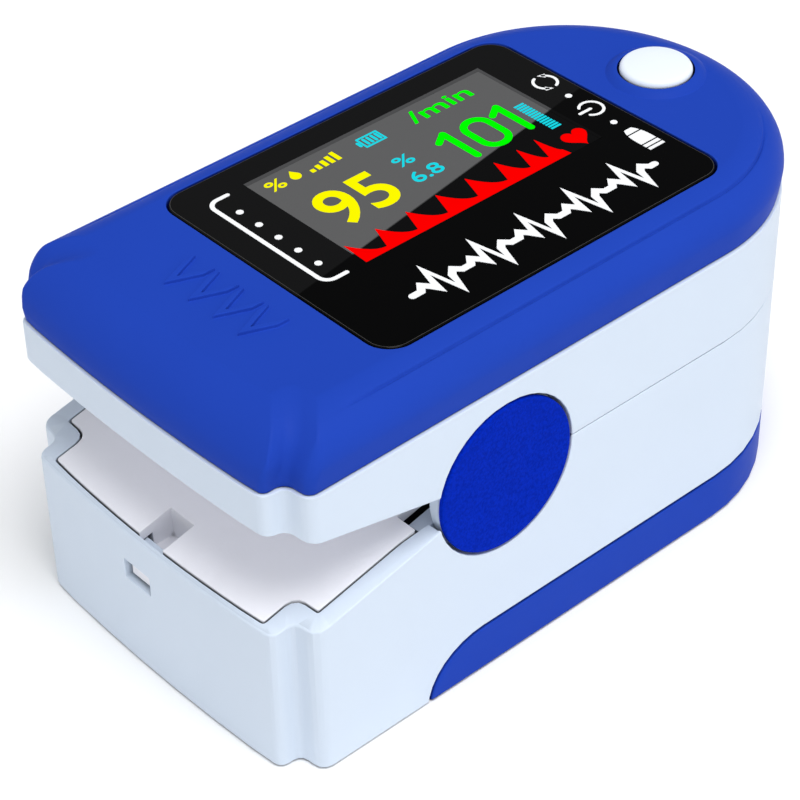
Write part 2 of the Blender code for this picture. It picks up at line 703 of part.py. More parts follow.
def insert(name, up, finish):
    """Inner plate of one half: wedge sheet in front, finger trough behind."""
    reach = chamber_up if up else chamber_down
    slope = UPPER_WEDGE if up else LOWER_WEDGE
    inset = RIM_SIDE + GAP
    front = WALL + GAP if up else RIM_FRONT + GAP
    body = plate(name, plan_outline(inset, front, inset), (INSERT_START_Z, TOP_Z), finish)
    boolean(body, side_plate(f"keep_{name}_sheet", sheet_profile(slope, up, SHEET), HALF_WIDTH),
            "INTERSECT")
    trough = end_plate(f"{name}_trough",
                       half_tube(chamber_half(3) - CLEAR, reach(3) - CLEAR, 0.0, up),
                       (CHAMBER_Y - PAD - GAP - SHEET, REAR_Y + PAST))
    boolean(trough, plate(f"keep_{name}_trough", plan_outline(CLEAR), (0.0, TOP_Z)), "INTERSECT")
    cut(trough, side_plate(f"cut_{name}_trough_split", seam_outline_for_cut(slope, up), HALF_WIDTH))
    join(body, trough)
    if not up:
        join(body, *battery_box_walls())
    hollow = end_plate(f"cut_{name}_hollow", half_tube(chamber_half(2), reach(2), 0.0, up, 18),
                       (CHAMBER_Y - PAD - GAP, REAR_Y + PAST * 2.0))
    optic = turned(f"cut_{name}_optic", [(0.0, TOP_Z), (OPTIC_RADIUS + CLEAR, TOP_Z),
                                         (OPTIC_RADIUS + CLEAR, PIVOT_Z), (0.0, PIVOT_Z)], segments=20)
    moved(optic, (0.0, OPTIC_Y, 0.0 if up else PIVOT_Z - TOP_Z))
    cut(body, hollow, optic)
    for sign in (1, -1):
        label = side_name(sign)
        neck_x = (NECK_HALF, HALF_WIDTH)
        notch_x = (NOTCH_X, HALF_WIDTH)
        cut(body, box(f"cut_{name}_neck_{label}",
                      low_corner(sign, neck_x, PIVOT_Y - POCKET_WALL_RADIUS - GAP, 0.0),
                      high_corner(sign, neck_x, PIVOT_Y + POCKET_WALL_RADIUS + GAP, TOP_Z)),
            box(f"cut_{name}_notch_{label}", low_corner(sign, notch_x, NOTCH_Y[0], 0.0),
                high_corner(sign, notch_x, NOTCH_Y[1], TOP_Z)))
    return body


def battery_box_walls():
    """End walls of the battery box, the latch arm and the recess block."""
    front_wall = box("bay_front_wall", (-BAY_FRONT_HALF, BAY_WALL_Y[0], BAY_WALL_Z[0]),
                     (BAY_FRONT_HALF, BAY_WALL_Y[1], BAY_WALL_Z[1]))
    rear_wall = box("bay_rear_wall", (-BAY_REAR_HALF, BAY_REAR_Y[0], BAY_WALL_Z[0]),
                    (BAY_REAR_HALF, BAY_REAR_Y[1], BAY_WALL_Z[1] + PAST))
    return front_wall, rear_wall


def lower_insert(finish):
    """Lower insert with the square recess in front and the latch arm under it."""
    body = insert("lower_insert", False, finish)
    floor_z = PIVOT_Z - LOWER_WEDGE * (PIVOT_Y - RECESS_Y[0]) - RECESS_DEPTH
    arm_half = LATCH_HALF - CLEAR
    block = box("recess_block", (-RECESS_HALF - RECESS_WALL, LATCH_ARM_Y[0], floor_z - RECESS_WALL),
                (RECESS_HALF + RECESS_WALL, RECESS_Y[1] + RECESS_WALL, floor_z + RECESS_DEPTH))
    arm = box("latch_arm", (LATCH_X - arm_half, LATCH_ARM_Y[0], LATCH_Z[0] + CLEAR),
              (LATCH_X + arm_half, LATCH_ARM_Y[1], floor_z))
    hook = box("latch_hook", (LATCH_X - arm_half, FRONT_Y + PAST / 2.0, LATCH_Z[0] + CLEAR),
               (LATCH_X + arm_half, LATCH_ARM_Y[1], LATCH_Z[1] - CLEAR))
    recess = box("cut_recess", (-RECESS_HALF, RECESS_Y[0], floor_z),
                 (RECESS_HALF, RECESS_Y[1], PIVOT_Z))
    join(body, block, arm, hook)
    return cut(body, recess)


# ================================================================ display and electronics
def display_window(finish):
    """Black printed window, bonded flush into the top cover."""
    body = plate("display_window", rounded_rectangle(*WINDOW_HALF, WINDOW_RADIUS, WINDOW_Y), WINDOW_Z, finish)
    return bevel(body, GAP, 1)


def display_module(finish):
    """The display itself, in the opening under the window."""
    half_x = WINDOW_HALF[0] - SEAT_MARGIN - CLEAR
    half_y = WINDOW_HALF[1] - SEAT_MARGIN - CLEAR
    outline = rounded_rectangle(half_x, half_y, DISPLAY_CORNER, WINDOW_Y, 3)
    return plate("display_module", outline, DISPLAY_Z, finish)


def display_frame(finish):
    """Open frame that carries the display on the main board."""
    half_x = WINDOW_HALF[0] - SEAT_MARGIN - CLEAR
    half_y = WINDOW_HALF[1] - SEAT_MARGIN - CLEAR
    body = plate("display_frame", rounded_rectangle(half_x, half_y, DISPLAY_CORNER, WINDOW_Y, 3),
                 DISPLAY_FRAME_Z, finish)
    return cut(body, box("cut_display_frame", (-half_x + FRAME_BAR, WINDOW_Y - half_y + FRAME_BAR, 0.0),
                         (half_x - FRAME_BAR, WINDOW_Y + half_y - FRAME_BAR, TOP_Z)))


def main_board(finish):
    """Circuit board under the display, with its screw holes."""
    body = plate("main_board", plan_outline(BOARD_INSET, BOARD_FRONT_INSET, BOARD_FRONT_INSET), BOARD_Z, finish)
    for index, (x, y) in enumerate(COVER_SCREWS):
        hole = turned(f"cut_board_hole_{index + 1}",
                      [(0.0, TOP_Z), (SCREW_CLEARANCE, TOP_Z), (SCREW_CLEARANCE, 0.0), (0.0, 0.0)], segments=16)
        cut(body, moved(hole, (x, y, 0.0)))
    return body


def chip(name, place, finish):
    """A chip under the main board."""
    (x, y), (half_x, half_y) = place
    top = BOARD_Z[0] - GAP
    body = box(name, (x - half_x, y - half_y, top - CHIP_HEIGHT), (x + half_x, y + half_y, top), finish)
    return bevel(body, GAP, 1)


def sensor_board(name, half, z_range, finish):
    """The small circuit board behind a lens."""
    return box(name, (-half[0], OPTIC_Y - half[1], z_range[0]),
               (half[0], OPTIC_Y + half[1], z_range[1]), finish)


def screw(name, place, finish):
    """A small screw with a flat head and a cross slot, driven upward."""
    head_z = BOARD_Z[0] - GAP - SCREW_HEAD
    shank_z = head_z + SCREW_HEAD
    body = turned(name, [(0.0, shank_z + SCREW_LENGTH), (SCREW_RADIUS, shank_z + SCREW_LENGTH),
                         (SCREW_RADIUS, shank_z), (SCREW_HEAD_RADIUS, shank_z),
                         (SCREW_HEAD_RADIUS, head_z), (0.0, head_z)], finish, segments=16)
    moved(body, (place[0], place[1], 0.0))
    arm = SCREW_HEAD_RADIUS * 0.65
    for index, (reach_x, reach_y) in enumerate(((arm, SCREW_SLOT), (SCREW_SLOT, arm))):
        cut(body, box(f"cut_{name}_slot_{index + 1}",
                      (place[0] - reach_x, place[1] - reach_y, head_z - PAST),
                      (place[0] + reach_x, place[1] + reach_y, head_z + SCREW_HEAD / 2.0)))
    return body


def power_button(finish):
    """White round button with a flange that keeps it under the cover."""
    edge_centre = (BUTTON_RADIUS - BUTTON_EDGE, BUTTON_TOP_Z - BUTTON_CROWN - BUTTON_EDGE)
    flange_top = BUTTON_BASE_Z + FLANGE_THICKNESS
    profile = [(0.0, BUTTON_TOP_Z), (BUTTON_RADIUS * 0.6, BUTTON_TOP_Z - BUTTON_CROWN * 0.4)]
    profile += arc(edge_centre, BUTTON_EDGE, 90.0, 0.0, 4)
    profile += [(BUTTON_RADIUS, flange_top), (FLANGE_RADIUS, flange_top),
                (FLANGE_RADIUS, BUTTON_BASE_Z), (0.0, BUTTON_BASE_Z)]
    return moved(turned("power_button", profile, finish, 40), (0.0, BUTTON_Y, 0.0))


def switch_body(finish):
    """Square push switch under the button, open above for its plunger."""
    body = box("switch_body", (-SWITCH_HALF, BUTTON_Y - SWITCH_HALF, SWITCH_Z[0]),
               (SWITCH_HALF, BUTTON_Y + SWITCH_HALF, SWITCH_Z[1]), finish)
    pocket = turned("cut_switch_pocket",
                    [(0.0, TOP_Z), (PLUNGER_RADIUS + GAP, TOP_Z),
                     (PLUNGER_RADIUS + GAP, PLUNGER_POCKET_Z), (0.0, PLUNGER_POCKET_Z)], segments=24)
    return cut(body, moved(pocket, (0.0, BUTTON_Y, 0.0)))


def switch_plunger(finish):
    """Plunger that the button pushes into the switch."""
    return moved(turned("switch_plunger",
                        [(0.0, PLUNGER_Z[1]), (PLUNGER_RADIUS * 0.8, PLUNGER_Z[1]),
                         (PLUNGER_RADIUS, PLUNGER_Z[1] - GAP), (PLUNGER_RADIUS, PLUNGER_Z[0]),
                         (0.0, PLUNGER_Z[0])], finish, 24),
                 (0.0, BUTTON_Y, 0.0))


def optic(name, z_range, up, finish):
    """Clear round lens with a domed face towards the finger."""
    if up:
        profile = [(0.0, z_range[1]), (OPTIC_RADIUS, z_range[1]), (OPTIC_RADIUS, z_range[0] + DOME),
                   (OPTIC_RADIUS * 0.7, z_range[0] + DOME * 0.3), (0.0, z_range[0])]
    else:
        profile = [(0.0, z_range[1]), (OPTIC_RADIUS * 0.7, z_range[1] - DOME * 0.3),
                   (OPTIC_RADIUS, z_range[1] - DOME), (OPTIC_RADIUS, z_range[0]), (0.0, z_range[0])]
    return moved(turned(name, profile, finish, 20), (0.0, OPTIC_Y, 0.0))


# ================================================================ hinge
def hinge(sign, plastic, colour, steel):
    """Drum, colour cap, pin and torsion spring on one side."""
    label = side_name(sign)
    centre = (PIVOT_Y, PIVOT_Z)
    drum = disc(f"hinge_drum_{label}", DRUM_RADIUS, tuple(sign * x for x in DRUM_X), centre, plastic, 48)
    cut(drum, disc(f"cut_drum_hole_{label}", PIN_HOLE_RADIUS,
                   (sign * (DRUM_X[0] - PAST), sign * (PIN_X[1] + CLEAR / 2.0)), centre, segments=20))
    cap = disc(f"hinge_cap_{label}", CAP_RADIUS, tuple(sign * x for x in CAP_X), centre, colour, 64)
    bevel(cap, 0.0001, 2)
    disc(f"hinge_pin_{label}", PIN_RADIUS, tuple(sign * x for x in PIN_X), centre, steel, 20)
    torsion_spring(f"torsion_spring_{label}", sign, steel)


def torsion_spring(name, sign, steel):
    """Closing spring round the pin, with one leg for each half of the clip."""
    steps = 12
    turns = SPRING_TURNS + 0.5
    count = int(turns * steps)
    points = []
    for step in range(count + 1):
        angle = math.pi / 2.0 + math.tau * turns * step / count
        x = SPRING_X[0] + (SPRING_X[1] - SPRING_X[0]) * step / count
        points.append((sign * x, SPRING_RADIUS * math.cos(angle), SPRING_RADIUS * math.sin(angle)))
    first = points[0]
    last = points[-1]
    upper_leg = (first[0], first[1] - SPRING_LEG, first[2] + SPRING_LEG * UPPER_WEDGE / 2.0)
    lower_leg = (last[0], last[1] - SPRING_LEG, last[2] - SPRING_LEG * LOWER_WEDGE / 2.0)
    wire(name, [upper_leg] + points + [lower_leg], SPRING_WIRE, steel, (0.0, PIVOT_Y, PIVOT_Z))


# ================================================================ batteries
def battery(name, sign, nub_front, finish):
    """An AAA cell with its raised positive nub."""
    can_end = CELL_LENGTH - NUB_LENGTH
    profile = [(0.0, CELL_LENGTH), (NUB_RADIUS - CELL_EDGE, CELL_LENGTH),
               (NUB_RADIUS, CELL_LENGTH - CELL_EDGE), (NUB_RADIUS, can_end),
               (CELL_RADIUS - CELL_EDGE, can_end), (CELL_RADIUS, can_end - CELL_EDGE),
               (CELL_RADIUS, CELL_EDGE), (CELL_RADIUS - CELL_EDGE, 0.0), (0.0, 0.0)]
    body = turned(name, profile, finish, 32)
    turn = math.pi / 2.0 if nub_front else -math.pi / 2.0
    start = CELL_Y + CELL_LENGTH if nub_front else CELL_Y
    return moved(body, (sign * CELL_X, start, CELL_Z), (turn, 0.0, 0.0))


def cell_spring(name, x, base_y, tip_y, steel):
    """Tapered contact spring that presses on a cell's flat end."""
    steps = 12
    count = CELL_SPRING_TURNS * steps
    points = []
    for step in range(count + 1):
        part = step / count
        radius = CELL_SPRING_RADII[0] + (CELL_SPRING_RADII[1] - CELL_SPRING_RADII[0]) * part
        angle = math.tau * CELL_SPRING_TURNS * part
        points.append((radius * math.cos(angle), base_y + (tip_y - base_y) * part, radius * math.sin(angle)))
    wire(name, points, CELL_SPRING_WIRE, steel, (x, 0.0, CELL_Z))


def contact(name, x_low, x_high, y_low, finish):
    """Flat contact plate on an end wall of the battery box."""
    body = box(name, (x_low, y_low, CELL_Z - CONTACT_HALF),
               (x_high, y_low + CONTACT, CELL_Z + CONTACT_HALF), finish)
    return bevel(body, 0.00008, 1)


def batteries(wrap, steel):
    """Both cells, side by side and head to tail, with their contacts."""
    battery("battery_left", -1, True, wrap)
    battery("battery_right", 1, False, wrap)
    front_y = BAY_WALL_Y[1] + GAP
    rear_y = BAY_REAR_Y[0] - GAP - CONTACT
    contact("contact_plate_positive", -CELL_X - CONTACT_HALF, -CELL_X + CONTACT_HALF, front_y, steel)
    contact("contact_plate_negative", CELL_X - CONTACT_HALF, CELL_X + CONTACT_HALF, front_y, steel)
    contact("contact_bridge", -CELL_X - CONTACT_HALF, CELL_X + CONTACT_HALF, rear_y, steel)
    spring_front = front_y + CONTACT + CELL_SPRING_WIRE + GAP
    cell_spring("cell_spring_front", CELL_X, spring_front, CELL_Y - CELL_SPRING_WIRE - GAP, steel)


# ================================================================ assembly
def build():
    clear_scene()
    blue = material("blue_cover_plastic", BLUE, 0.35)
    disc_blue = material("hinge_cap_blue", DISC_BLUE, 0.5)
    white = material("white_shell_plastic", WHITE, 0.4)
    insert_white = material("insert_plastic", INSERT_WHITE, 0.5)
    pad = material("finger_pad_silicone", PAD_GREY, 0.7)
    black = material("window_gloss", BLACK, 0.08)
    board = material("circuit_board", BOARD_GREEN, 0.45)
    package = material("chip_package", CHIP_BLACK, 0.5)
    steel = material("spring_steel", STEEL, 0.3, 1.0)
    wrap = material("cell_wrap", CELL_GREY, 0.35, 0.6)
    lens = material("optic_lens", INSERT_WHITE, 0.1)

    top_cover(blue)
    upper_shell(white)
    insert("upper_insert", True, insert_white)
    finger_pad("upper_finger_pad", True, pad)
    display_window(black)
    display_module(package)
    display_frame(insert_white)
    main_board(board)
    chip("controller_chip", CONTROLLER_CHIP, package)
    chip("signal_chip", SIGNAL_CHIP, package)
    for index, place in enumerate(COVER_SCREWS):
        screw(f"board_screw_{index + 1}", place, steel)
    power_button(white)
    switch_body(package)
    switch_plunger(white)
    optic("emitter_lens", EMITTER_Z, True, lens)
    sensor_board("emitter_board", EMITTER_BOARD_HALF, EMITTER_BOARD_Z, board)

    lower_shell(white)
    lower_insert(insert_white)
    finger_pad("lower_finger_pad", False, pad)
    optic("detector_lens", DETECTOR_Z, False, lens)
    sensor_board("detector_board", DETECTOR_BOARD_HALF, DETECTOR_BOARD_Z, board)
    batteries(wrap, steel)
    battery_cover(blue)
    for sign in (1, -1):
        hinge(sign, white, disc_blue, steel)


build()
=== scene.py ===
"""Looks of the fingertip pulse oximeter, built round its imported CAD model.

Metres, in the CAD frame: X is the width and the hinge axis, Y the length with
the finger opening at +Y, Z up.  What is drawn on the window reads along +Y,
so there the text's right is +Y and its top is -X.
"""

import json
import math

import bmesh
import bpy
from mathutils import Matrix, Vector

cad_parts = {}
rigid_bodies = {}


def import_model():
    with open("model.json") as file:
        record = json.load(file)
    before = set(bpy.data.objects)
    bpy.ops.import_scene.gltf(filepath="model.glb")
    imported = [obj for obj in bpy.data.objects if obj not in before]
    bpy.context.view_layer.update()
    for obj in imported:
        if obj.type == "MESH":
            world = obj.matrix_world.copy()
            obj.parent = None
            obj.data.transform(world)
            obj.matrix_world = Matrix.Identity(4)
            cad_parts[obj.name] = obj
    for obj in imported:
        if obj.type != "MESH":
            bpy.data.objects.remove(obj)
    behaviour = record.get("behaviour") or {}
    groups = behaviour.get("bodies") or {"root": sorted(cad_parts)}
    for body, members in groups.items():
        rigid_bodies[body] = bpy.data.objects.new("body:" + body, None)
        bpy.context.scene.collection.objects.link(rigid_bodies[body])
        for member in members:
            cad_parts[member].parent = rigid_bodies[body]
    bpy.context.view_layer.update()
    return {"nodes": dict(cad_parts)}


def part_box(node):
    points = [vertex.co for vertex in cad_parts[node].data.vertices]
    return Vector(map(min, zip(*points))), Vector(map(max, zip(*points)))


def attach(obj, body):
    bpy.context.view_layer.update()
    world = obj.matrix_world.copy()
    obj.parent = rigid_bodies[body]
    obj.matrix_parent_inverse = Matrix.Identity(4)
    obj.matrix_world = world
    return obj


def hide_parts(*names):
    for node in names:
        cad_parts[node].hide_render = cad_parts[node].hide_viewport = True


for item in list(bpy.data.objects):
    bpy.data.objects.remove(item)
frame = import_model()

MM = 0.001

# ---------------------------------------------------------------- sizes shared with the CAD
HALF_WIDTH = 0.0160
FRONT_Y = -0.02925
REAR_Y = 0.02925
FRONT_BOW = 0.0005
NOSE_HALF = 0.0137
SHOULDER_Y = -0.02678
SHOULDER_RAKE = 0.00006
ROUND_Y = 0.01384
NOSE_RADIUS = 0.0008
STEP_RADIUS = 0.0007
STEP_RADIUS_MAX = 0.0010
SHOULDER_RADIUS = 0.0010
SHARP_RADIUS = 0.0002
TOP_Z = 0.0304
COLOUR_SPLIT_Z = 0.02554
CEILING_Z = 0.0284
GAP = 0.00015
SIDE_ROUND = 0.0027
SIDE_ROUND_Z = 0.02735
FRONT_ROUND = 0.0050
WINDOW_HALF = (0.01256, 0.0167)
WINDOW_Y = 0.0001
WINDOW_RADIUS = 0.0020
WINDOW_Z = (0.0293, 0.03038)
PIVOT = (-0.0087, 0.01744)
LOWER_WEDGE = math.tan(math.radians(12.6))

# ---------------------------------------------------------------- the lower half's mouth
RIM_ACROSS = 0.00020        # rounding of the front rim, inwards and down
RIM_DOWN = 0.00035
RIM_SMALL = 0.00012         # rounding of the rest of the mouth
RIM_LIFT = 0.00004          # so that the rounding crosses the flat mouth cleanly
RIM_BLEND_Y = (-0.021, -0.013)
RIM_STEPS = 8
ENVELOPE_SLACK = 0.00003    # the envelope stands this far outside the housing
ENVELOPE_Z = (-0.001, 0.006)
SEAM_REACH = 0.00022
SEAM_LIFT = 0.00010

# ---------------------------------------------------------------- how finely curves are drawn
NOSE_STEPS = 12
CORNER_STEPS = 6
REAR_STEPS = 36
SIDE_SHARES = (0.03, 0.07, 0.12, 0.18, 0.25, 0.32, 0.38, 0.45, 0.58, 0.75, 0.90)
WELD = 2e-6
COPLANAR = math.radians(0.8)


# ================================================================ mesh helpers
def add_object(name, data):
    """Link a mesh, curve, lamp or camera as a new object."""
    made = bpy.data.objects.new(name, data)
    bpy.context.scene.collection.objects.link(made)
    return made


def mesh_from(name, shape):
    """Turn a bmesh into a mesh with outward faces."""
    bmesh.ops.recalc_face_normals(shape, faces=shape.faces)
    mesh = bpy.data.meshes.new(name)
    shape.to_mesh(mesh)
    shape.free()
    return mesh


def add_loft(shape, rings):
    """Add a closed solid through matching rings of 3-D points."""
    loops = [[shape.verts.new(point) for point in ring] for ring in rings]
    shape.faces.new(list(reversed(loops[0])))
    shape.faces.new(loops[-1])
    count = len(loops[0])
    for lower, upper in zip(loops, loops[1:]):
        for index in range(count):
            after = (index + 1) % count
            shape.faces.new((lower[index], lower[after], upper[after], upper[index]))


def loft(name, rings):
    """A closed solid through matching rings, as a new object."""
    shape = bmesh.new()
    add_loft(shape, rings)
    return add_object(name, mesh_from(name, shape))


def flat(outline, height):
    """A flat outline raised to a height."""
    return [(x, y, height) for x, y in outline]


def plate(name, outline, low, high):
    """An outline extruded between two heights."""
    return loft(name, [flat(outline, low), flat(outline, high)])


def box(name, low, high):
    """A block between two opposite corners."""
    outline = [(low[0], low[1]), (high[0], low[1]), (high[0], high[1]), (low[0], high[1])]
    return plate(name, outline, low[2], high[2])


def circle(radius, steps):
    """Points round the origin."""
    return [(radius * math.cos(math.tau * step / steps), radius * math.sin(math.tau * step / steps))
            for step in range(steps)]


def turned(name, profile, steps=64):
    """A solid of revolution about Z through (radius, height) points."""
    return loft(name, [flat(circle(radius, steps), height) for radius, height in profile])


def arc(centre, radius, start, end, steps):
    """Points on a circle between two angles in degrees."""
    points = []
    for step in range(steps + 1):
        angle = math.radians(start + (end - start) * step / steps)
        points.append((centre[0] + radius * math.cos(angle), centre[1] + radius * math.sin(angle)))
    return points


def rounded_rectangle(half_x, half_y, radius, centre, steps=10):
    """A rectangle's outline with round corners."""
    points = []
    for sign_x, sign_y, start in ((1, -1, -90.0), (1, 1, 0.0), (-1, 1, 90.0), (-1, -1, 180.0)):
        corner = (centre[0] + sign_x * (half_x - radius), centre[1] + sign_y * (half_y - radius))
        points += arc(corner, radius, start, start + 90.0, steps)
    return points


def body_outline(side, front=None):
    """The housing seen from above, inset by a distance; the nose may have its own inset."""
    front = side if front is None else front
    nose_x = NOSE_HALF - side
    nose_y = FRONT_Y + FRONT_BOW + front
    shoulder_y = SHOULDER_Y + front
    nose_radius = max(NOSE_RADIUS - front, SHARP_RADIUS)
    outer_radius = max(SHOULDER_RADIUS - side, SHARP_RADIUS)
    step_radius = min(STEP_RADIUS + side, STEP_RADIUS_MAX)
    right = []
    for step in range(NOSE_STEPS):
        x = (nose_x - nose_radius) * step / NOSE_STEPS
        right.append((x, nose_y - FRONT_BOW * (1.0 - (x / nose_x) ** 2)))
    right += arc((nose_x - nose_radius, nose_y + nose_radius), nose_radius, -90.0, 0.0, CORNER_STEPS)
    right += arc((nose_x + step_radius, shoulder_y - step_radius), step_radius, 180.0, 90.0,
                 CORNER_STEPS)
    right += arc((HALF_WIDTH - side - outer_radius, shoulder_y + SHOULDER_RAKE + outer_radius),
                 outer_radius, -90.0, 0.0, CORNER_STEPS)
    right_start = right[-1][1]
    for share in SIDE_SHARES:
        right.append((HALF_WIDTH - side, right_start + (ROUND_Y - right_start) * share))
    for step in range(REAR_STEPS + 1):
        angle = math.pi / 2.0 * step / REAR_STEPS
        right.append(((HALF_WIDTH - side) * math.cos(angle),
                      ROUND_Y + (REAR_Y - ROUND_Y - side) * math.sin(angle)))
    left = [(-x, y) for x, y in reversed(right[1:-1])]
    return right + left


def boolean(target, operation, *tools):
    """Cut or join tools into a target, and take the tools away."""
    for tool in tools:
        modifier = target.modifiers.new(operation, "BOOLEAN")
        modifier.operation = operation
        modifier.object = tool
        modifier.solver = "EXACT"
    settle(target)
    for tool in tools:
        bpy.data.objects.remove(tool)
    return target


def round_edges(target, width, segments, angle=35.0):
    """Bevel the edges that turn by more than the angle."""
    modifier = target.modifiers.new("round", "BEVEL")
    modifier.width = width
    modifier.segments = segments
    modifier.limit_method = "ANGLE"
    modifier.angle_limit = math.radians(angle)
    modifier.use_clamp_overlap = False
    modifier.miter_outer = "MITER_ARC"
    settle(target)
    return target


def settle(target):
    """Apply the modifiers to the mesh."""
    evaluated = target.evaluated_get(bpy.context.evaluated_depsgraph_get())
    mesh = bpy.data.meshes.new_from_object(evaluated)
    target.modifiers.clear()
    target.data = mesh


def smooth(target, angle=30.0):
    """Smooth shading, kept sharp at real edges, with flat faces left flat."""
    target.data.shade_smooth()
    target.data.set_sharp_from_angle(angle=math.radians(angle))
    modifier = target.modifiers.new("weighted_normals", "WEIGHTED_NORMAL")
    modifier.keep_sharp = True
    modifier.weight = 80
    return target


def reshaped(target, change):
    """Pass an object's mesh through a change that works on a bmesh."""
    shape = bmesh.new()
    shape.from_mesh(target.data)
    change(shape)
    shape.to_mesh(target.data)
    shape.free()
    return target


def split_large_faces(shape):
    """Many-sided faces bevel badly round their openings."""
    bmesh.ops.triangulate(shape, faces=[face for face in shape.faces if len(face.verts) > 4])


def face_outwards(shape):
    """Turn every face to the outside."""
    bmesh.ops.recalc_face_normals(shape, faces=shape.faces)


def refined(name, cad_node, width, envelope=None):
    """A copy of a CAD node's shape as clean faces with rounded edges."""
    source = frame["nodes"][cad_node]
    shape = bmesh.new()
    shape.from_mesh(source.data)
    bmesh.ops.transform(shape, matrix=source.matrix_world, verts=shape.verts)
    bmesh.ops.remove_doubles(shape, verts=shape.verts, dist=WELD)
    bmesh.ops.dissolve_limit(shape, angle_limit=COPLANAR, verts=shape.verts, edges=shape.edges)
    bmesh.ops.dissolve_degenerate(shape, dist=WELD, edges=shape.edges)
    made = add_object(name, mesh_from(name, shape))
    round_edges(reshaped(made, split_large_faces), width, 2)
    if envelope:
        boolean(made, "INTERSECT", envelope)
    return made


def seam_z(y):
    """Height of the lower half's mouth: a wedge in front of the pivot, level behind."""
    return PIVOT[1] - GAP / 2.0 - LOWER_WEDGE * max(PIVOT[0] - y, 0.0)


def ease(value, low, high):
    """0 below low and 1 above high, smooth between."""
    part = max(0.0, min(1.0, (value - low) / (high - low)))
    return part * part * (3.0 - 2.0 * part)


def close_seam(target):
    """Lift the lower half's mouth behind the pivot, where the two halves meet at rest."""
    for vertex in target.data.vertices:
        near = abs(vertex.co.z - seam_z(vertex.co.y)) < SEAM_REACH
        if near and vertex.co.y > PIVOT[0]:
            vertex.co.z += SEAM_LIFT


def rim_envelope():
    """All that lies inside the lower half's skin, its mouth softly rounded at the front."""
    outline = body_outline(-ENVELOPE_SLACK)
    count = len(outline)
    inward = []
    for index in range(count):
        before = Vector(outline[index - 1])
        after = Vector(outline[(index + 1) % count])
        way = (after - before).normalized()
        inward.append((-way.y, way.x))
    rings = [flat(outline, height) for height in ENVELOPE_Z]
    for step in range(RIM_STEPS + 2):
        angle = math.pi / 2.0 * min(step, RIM_STEPS) / RIM_STEPS
        ring = []
        for (x, y), (in_x, in_y) in zip(outline, inward):
            share = 1.0 - ease(y, *RIM_BLEND_Y)
            across = RIM_SMALL + (RIM_ACROSS - RIM_SMALL) * share
            down = RIM_SMALL + (RIM_DOWN - RIM_SMALL) * share
            inset = across * (1.0 - math.cos(angle))
            fall = down * (1.0 - math.sin(angle)) if step <= RIM_STEPS else -0.001
            ring.append((x + in_x * inset, y + in_y * inset, seam_z(y) + RIM_LIFT - fall))
        rings.append(ring)
    return loft("rim_envelope", rings)


# ================================================================ material helpers
def new_material(name):
    """A material with an empty node tree."""
    made = bpy.data.materials.new(name)
    made.use_nodes = True
    made.node_tree.nodes.clear()
    return made


def node(tree, kind, **values):
    """Add a node, setting its own properties and its input sockets by name."""
    made = tree.nodes.new(kind)
    for key, value in values.items():
        if hasattr(made, key):
            setattr(made, key, value)
        else:
            made.inputs[key.replace("_", " ")].default_value = value
    return made


def shade(colour, factor):
    """A colour made darker or lighter, with its alpha."""
    return (*(min(channel * factor, 1.0) for channel in colour), 1.0)


def mix_colours(tree, factor, first, second):
    """Blend two colours, each given as a colour or as a socket."""
    made = node(tree, "ShaderNodeMix", data_type="RGBA")
    tree.links.new(factor, made.inputs[0])
    for socket, value in ((made.inputs[6], first), (made.inputs[7], second)):
        if isinstance(value, tuple):
            socket.default_value = value
        else:
            tree.links.new(value, socket)
    return made.outputs[2]


def remap(tree, source, low, high, from_low=0.0, from_high=1.0):
    """Map a value from one range to another, clamped."""
    made = node(tree, "ShaderNodeMapRange", From_Min=from_low, From_Max=from_high, To_Min=low,
                To_Max=high)
    tree.links.new(source, made.inputs["Value"])
    return made.outputs["Result"]


def noise(tree, coordinates, scale, detail, distortion=0.0):
    """A noise value between 0 and 1."""
    made = node(tree, "ShaderNodeTexNoise", Scale=scale, Detail=detail, Distortion=distortion)
    tree.links.new(coordinates, made.inputs["Vector"])
    return made.outputs["Fac"]


def worn_edges(tree, radius):
    """1 along edges and 0 on open faces, from how a rounded normal turns away."""
    rounded = node(tree, "ShaderNodeBevel", samples=4, Radius=radius)
    geometry = node(tree, "ShaderNodeNewGeometry")
    turn = node(tree, "ShaderNodeVectorMath", operation="DOT_PRODUCT")
    tree.links.new(rounded.outputs["Normal"], turn.inputs[0])
    tree.links.new(geometry.outputs["Normal"], turn.inputs[1])
    return remap(tree, turn.outputs["Value"], 1.0, 0.0, 0.80, 0.99)


def crevice_shade(tree, reach):
    """Mask for painted shade: 1 deep in narrow gaps and 0 on open faces."""
    openness = node(tree, "ShaderNodeAmbientOcclusion", samples=8, Distance=reach)
    return remap(tree, openness.outputs["AO"], 1.0, 0.0, 0.18, 0.50)


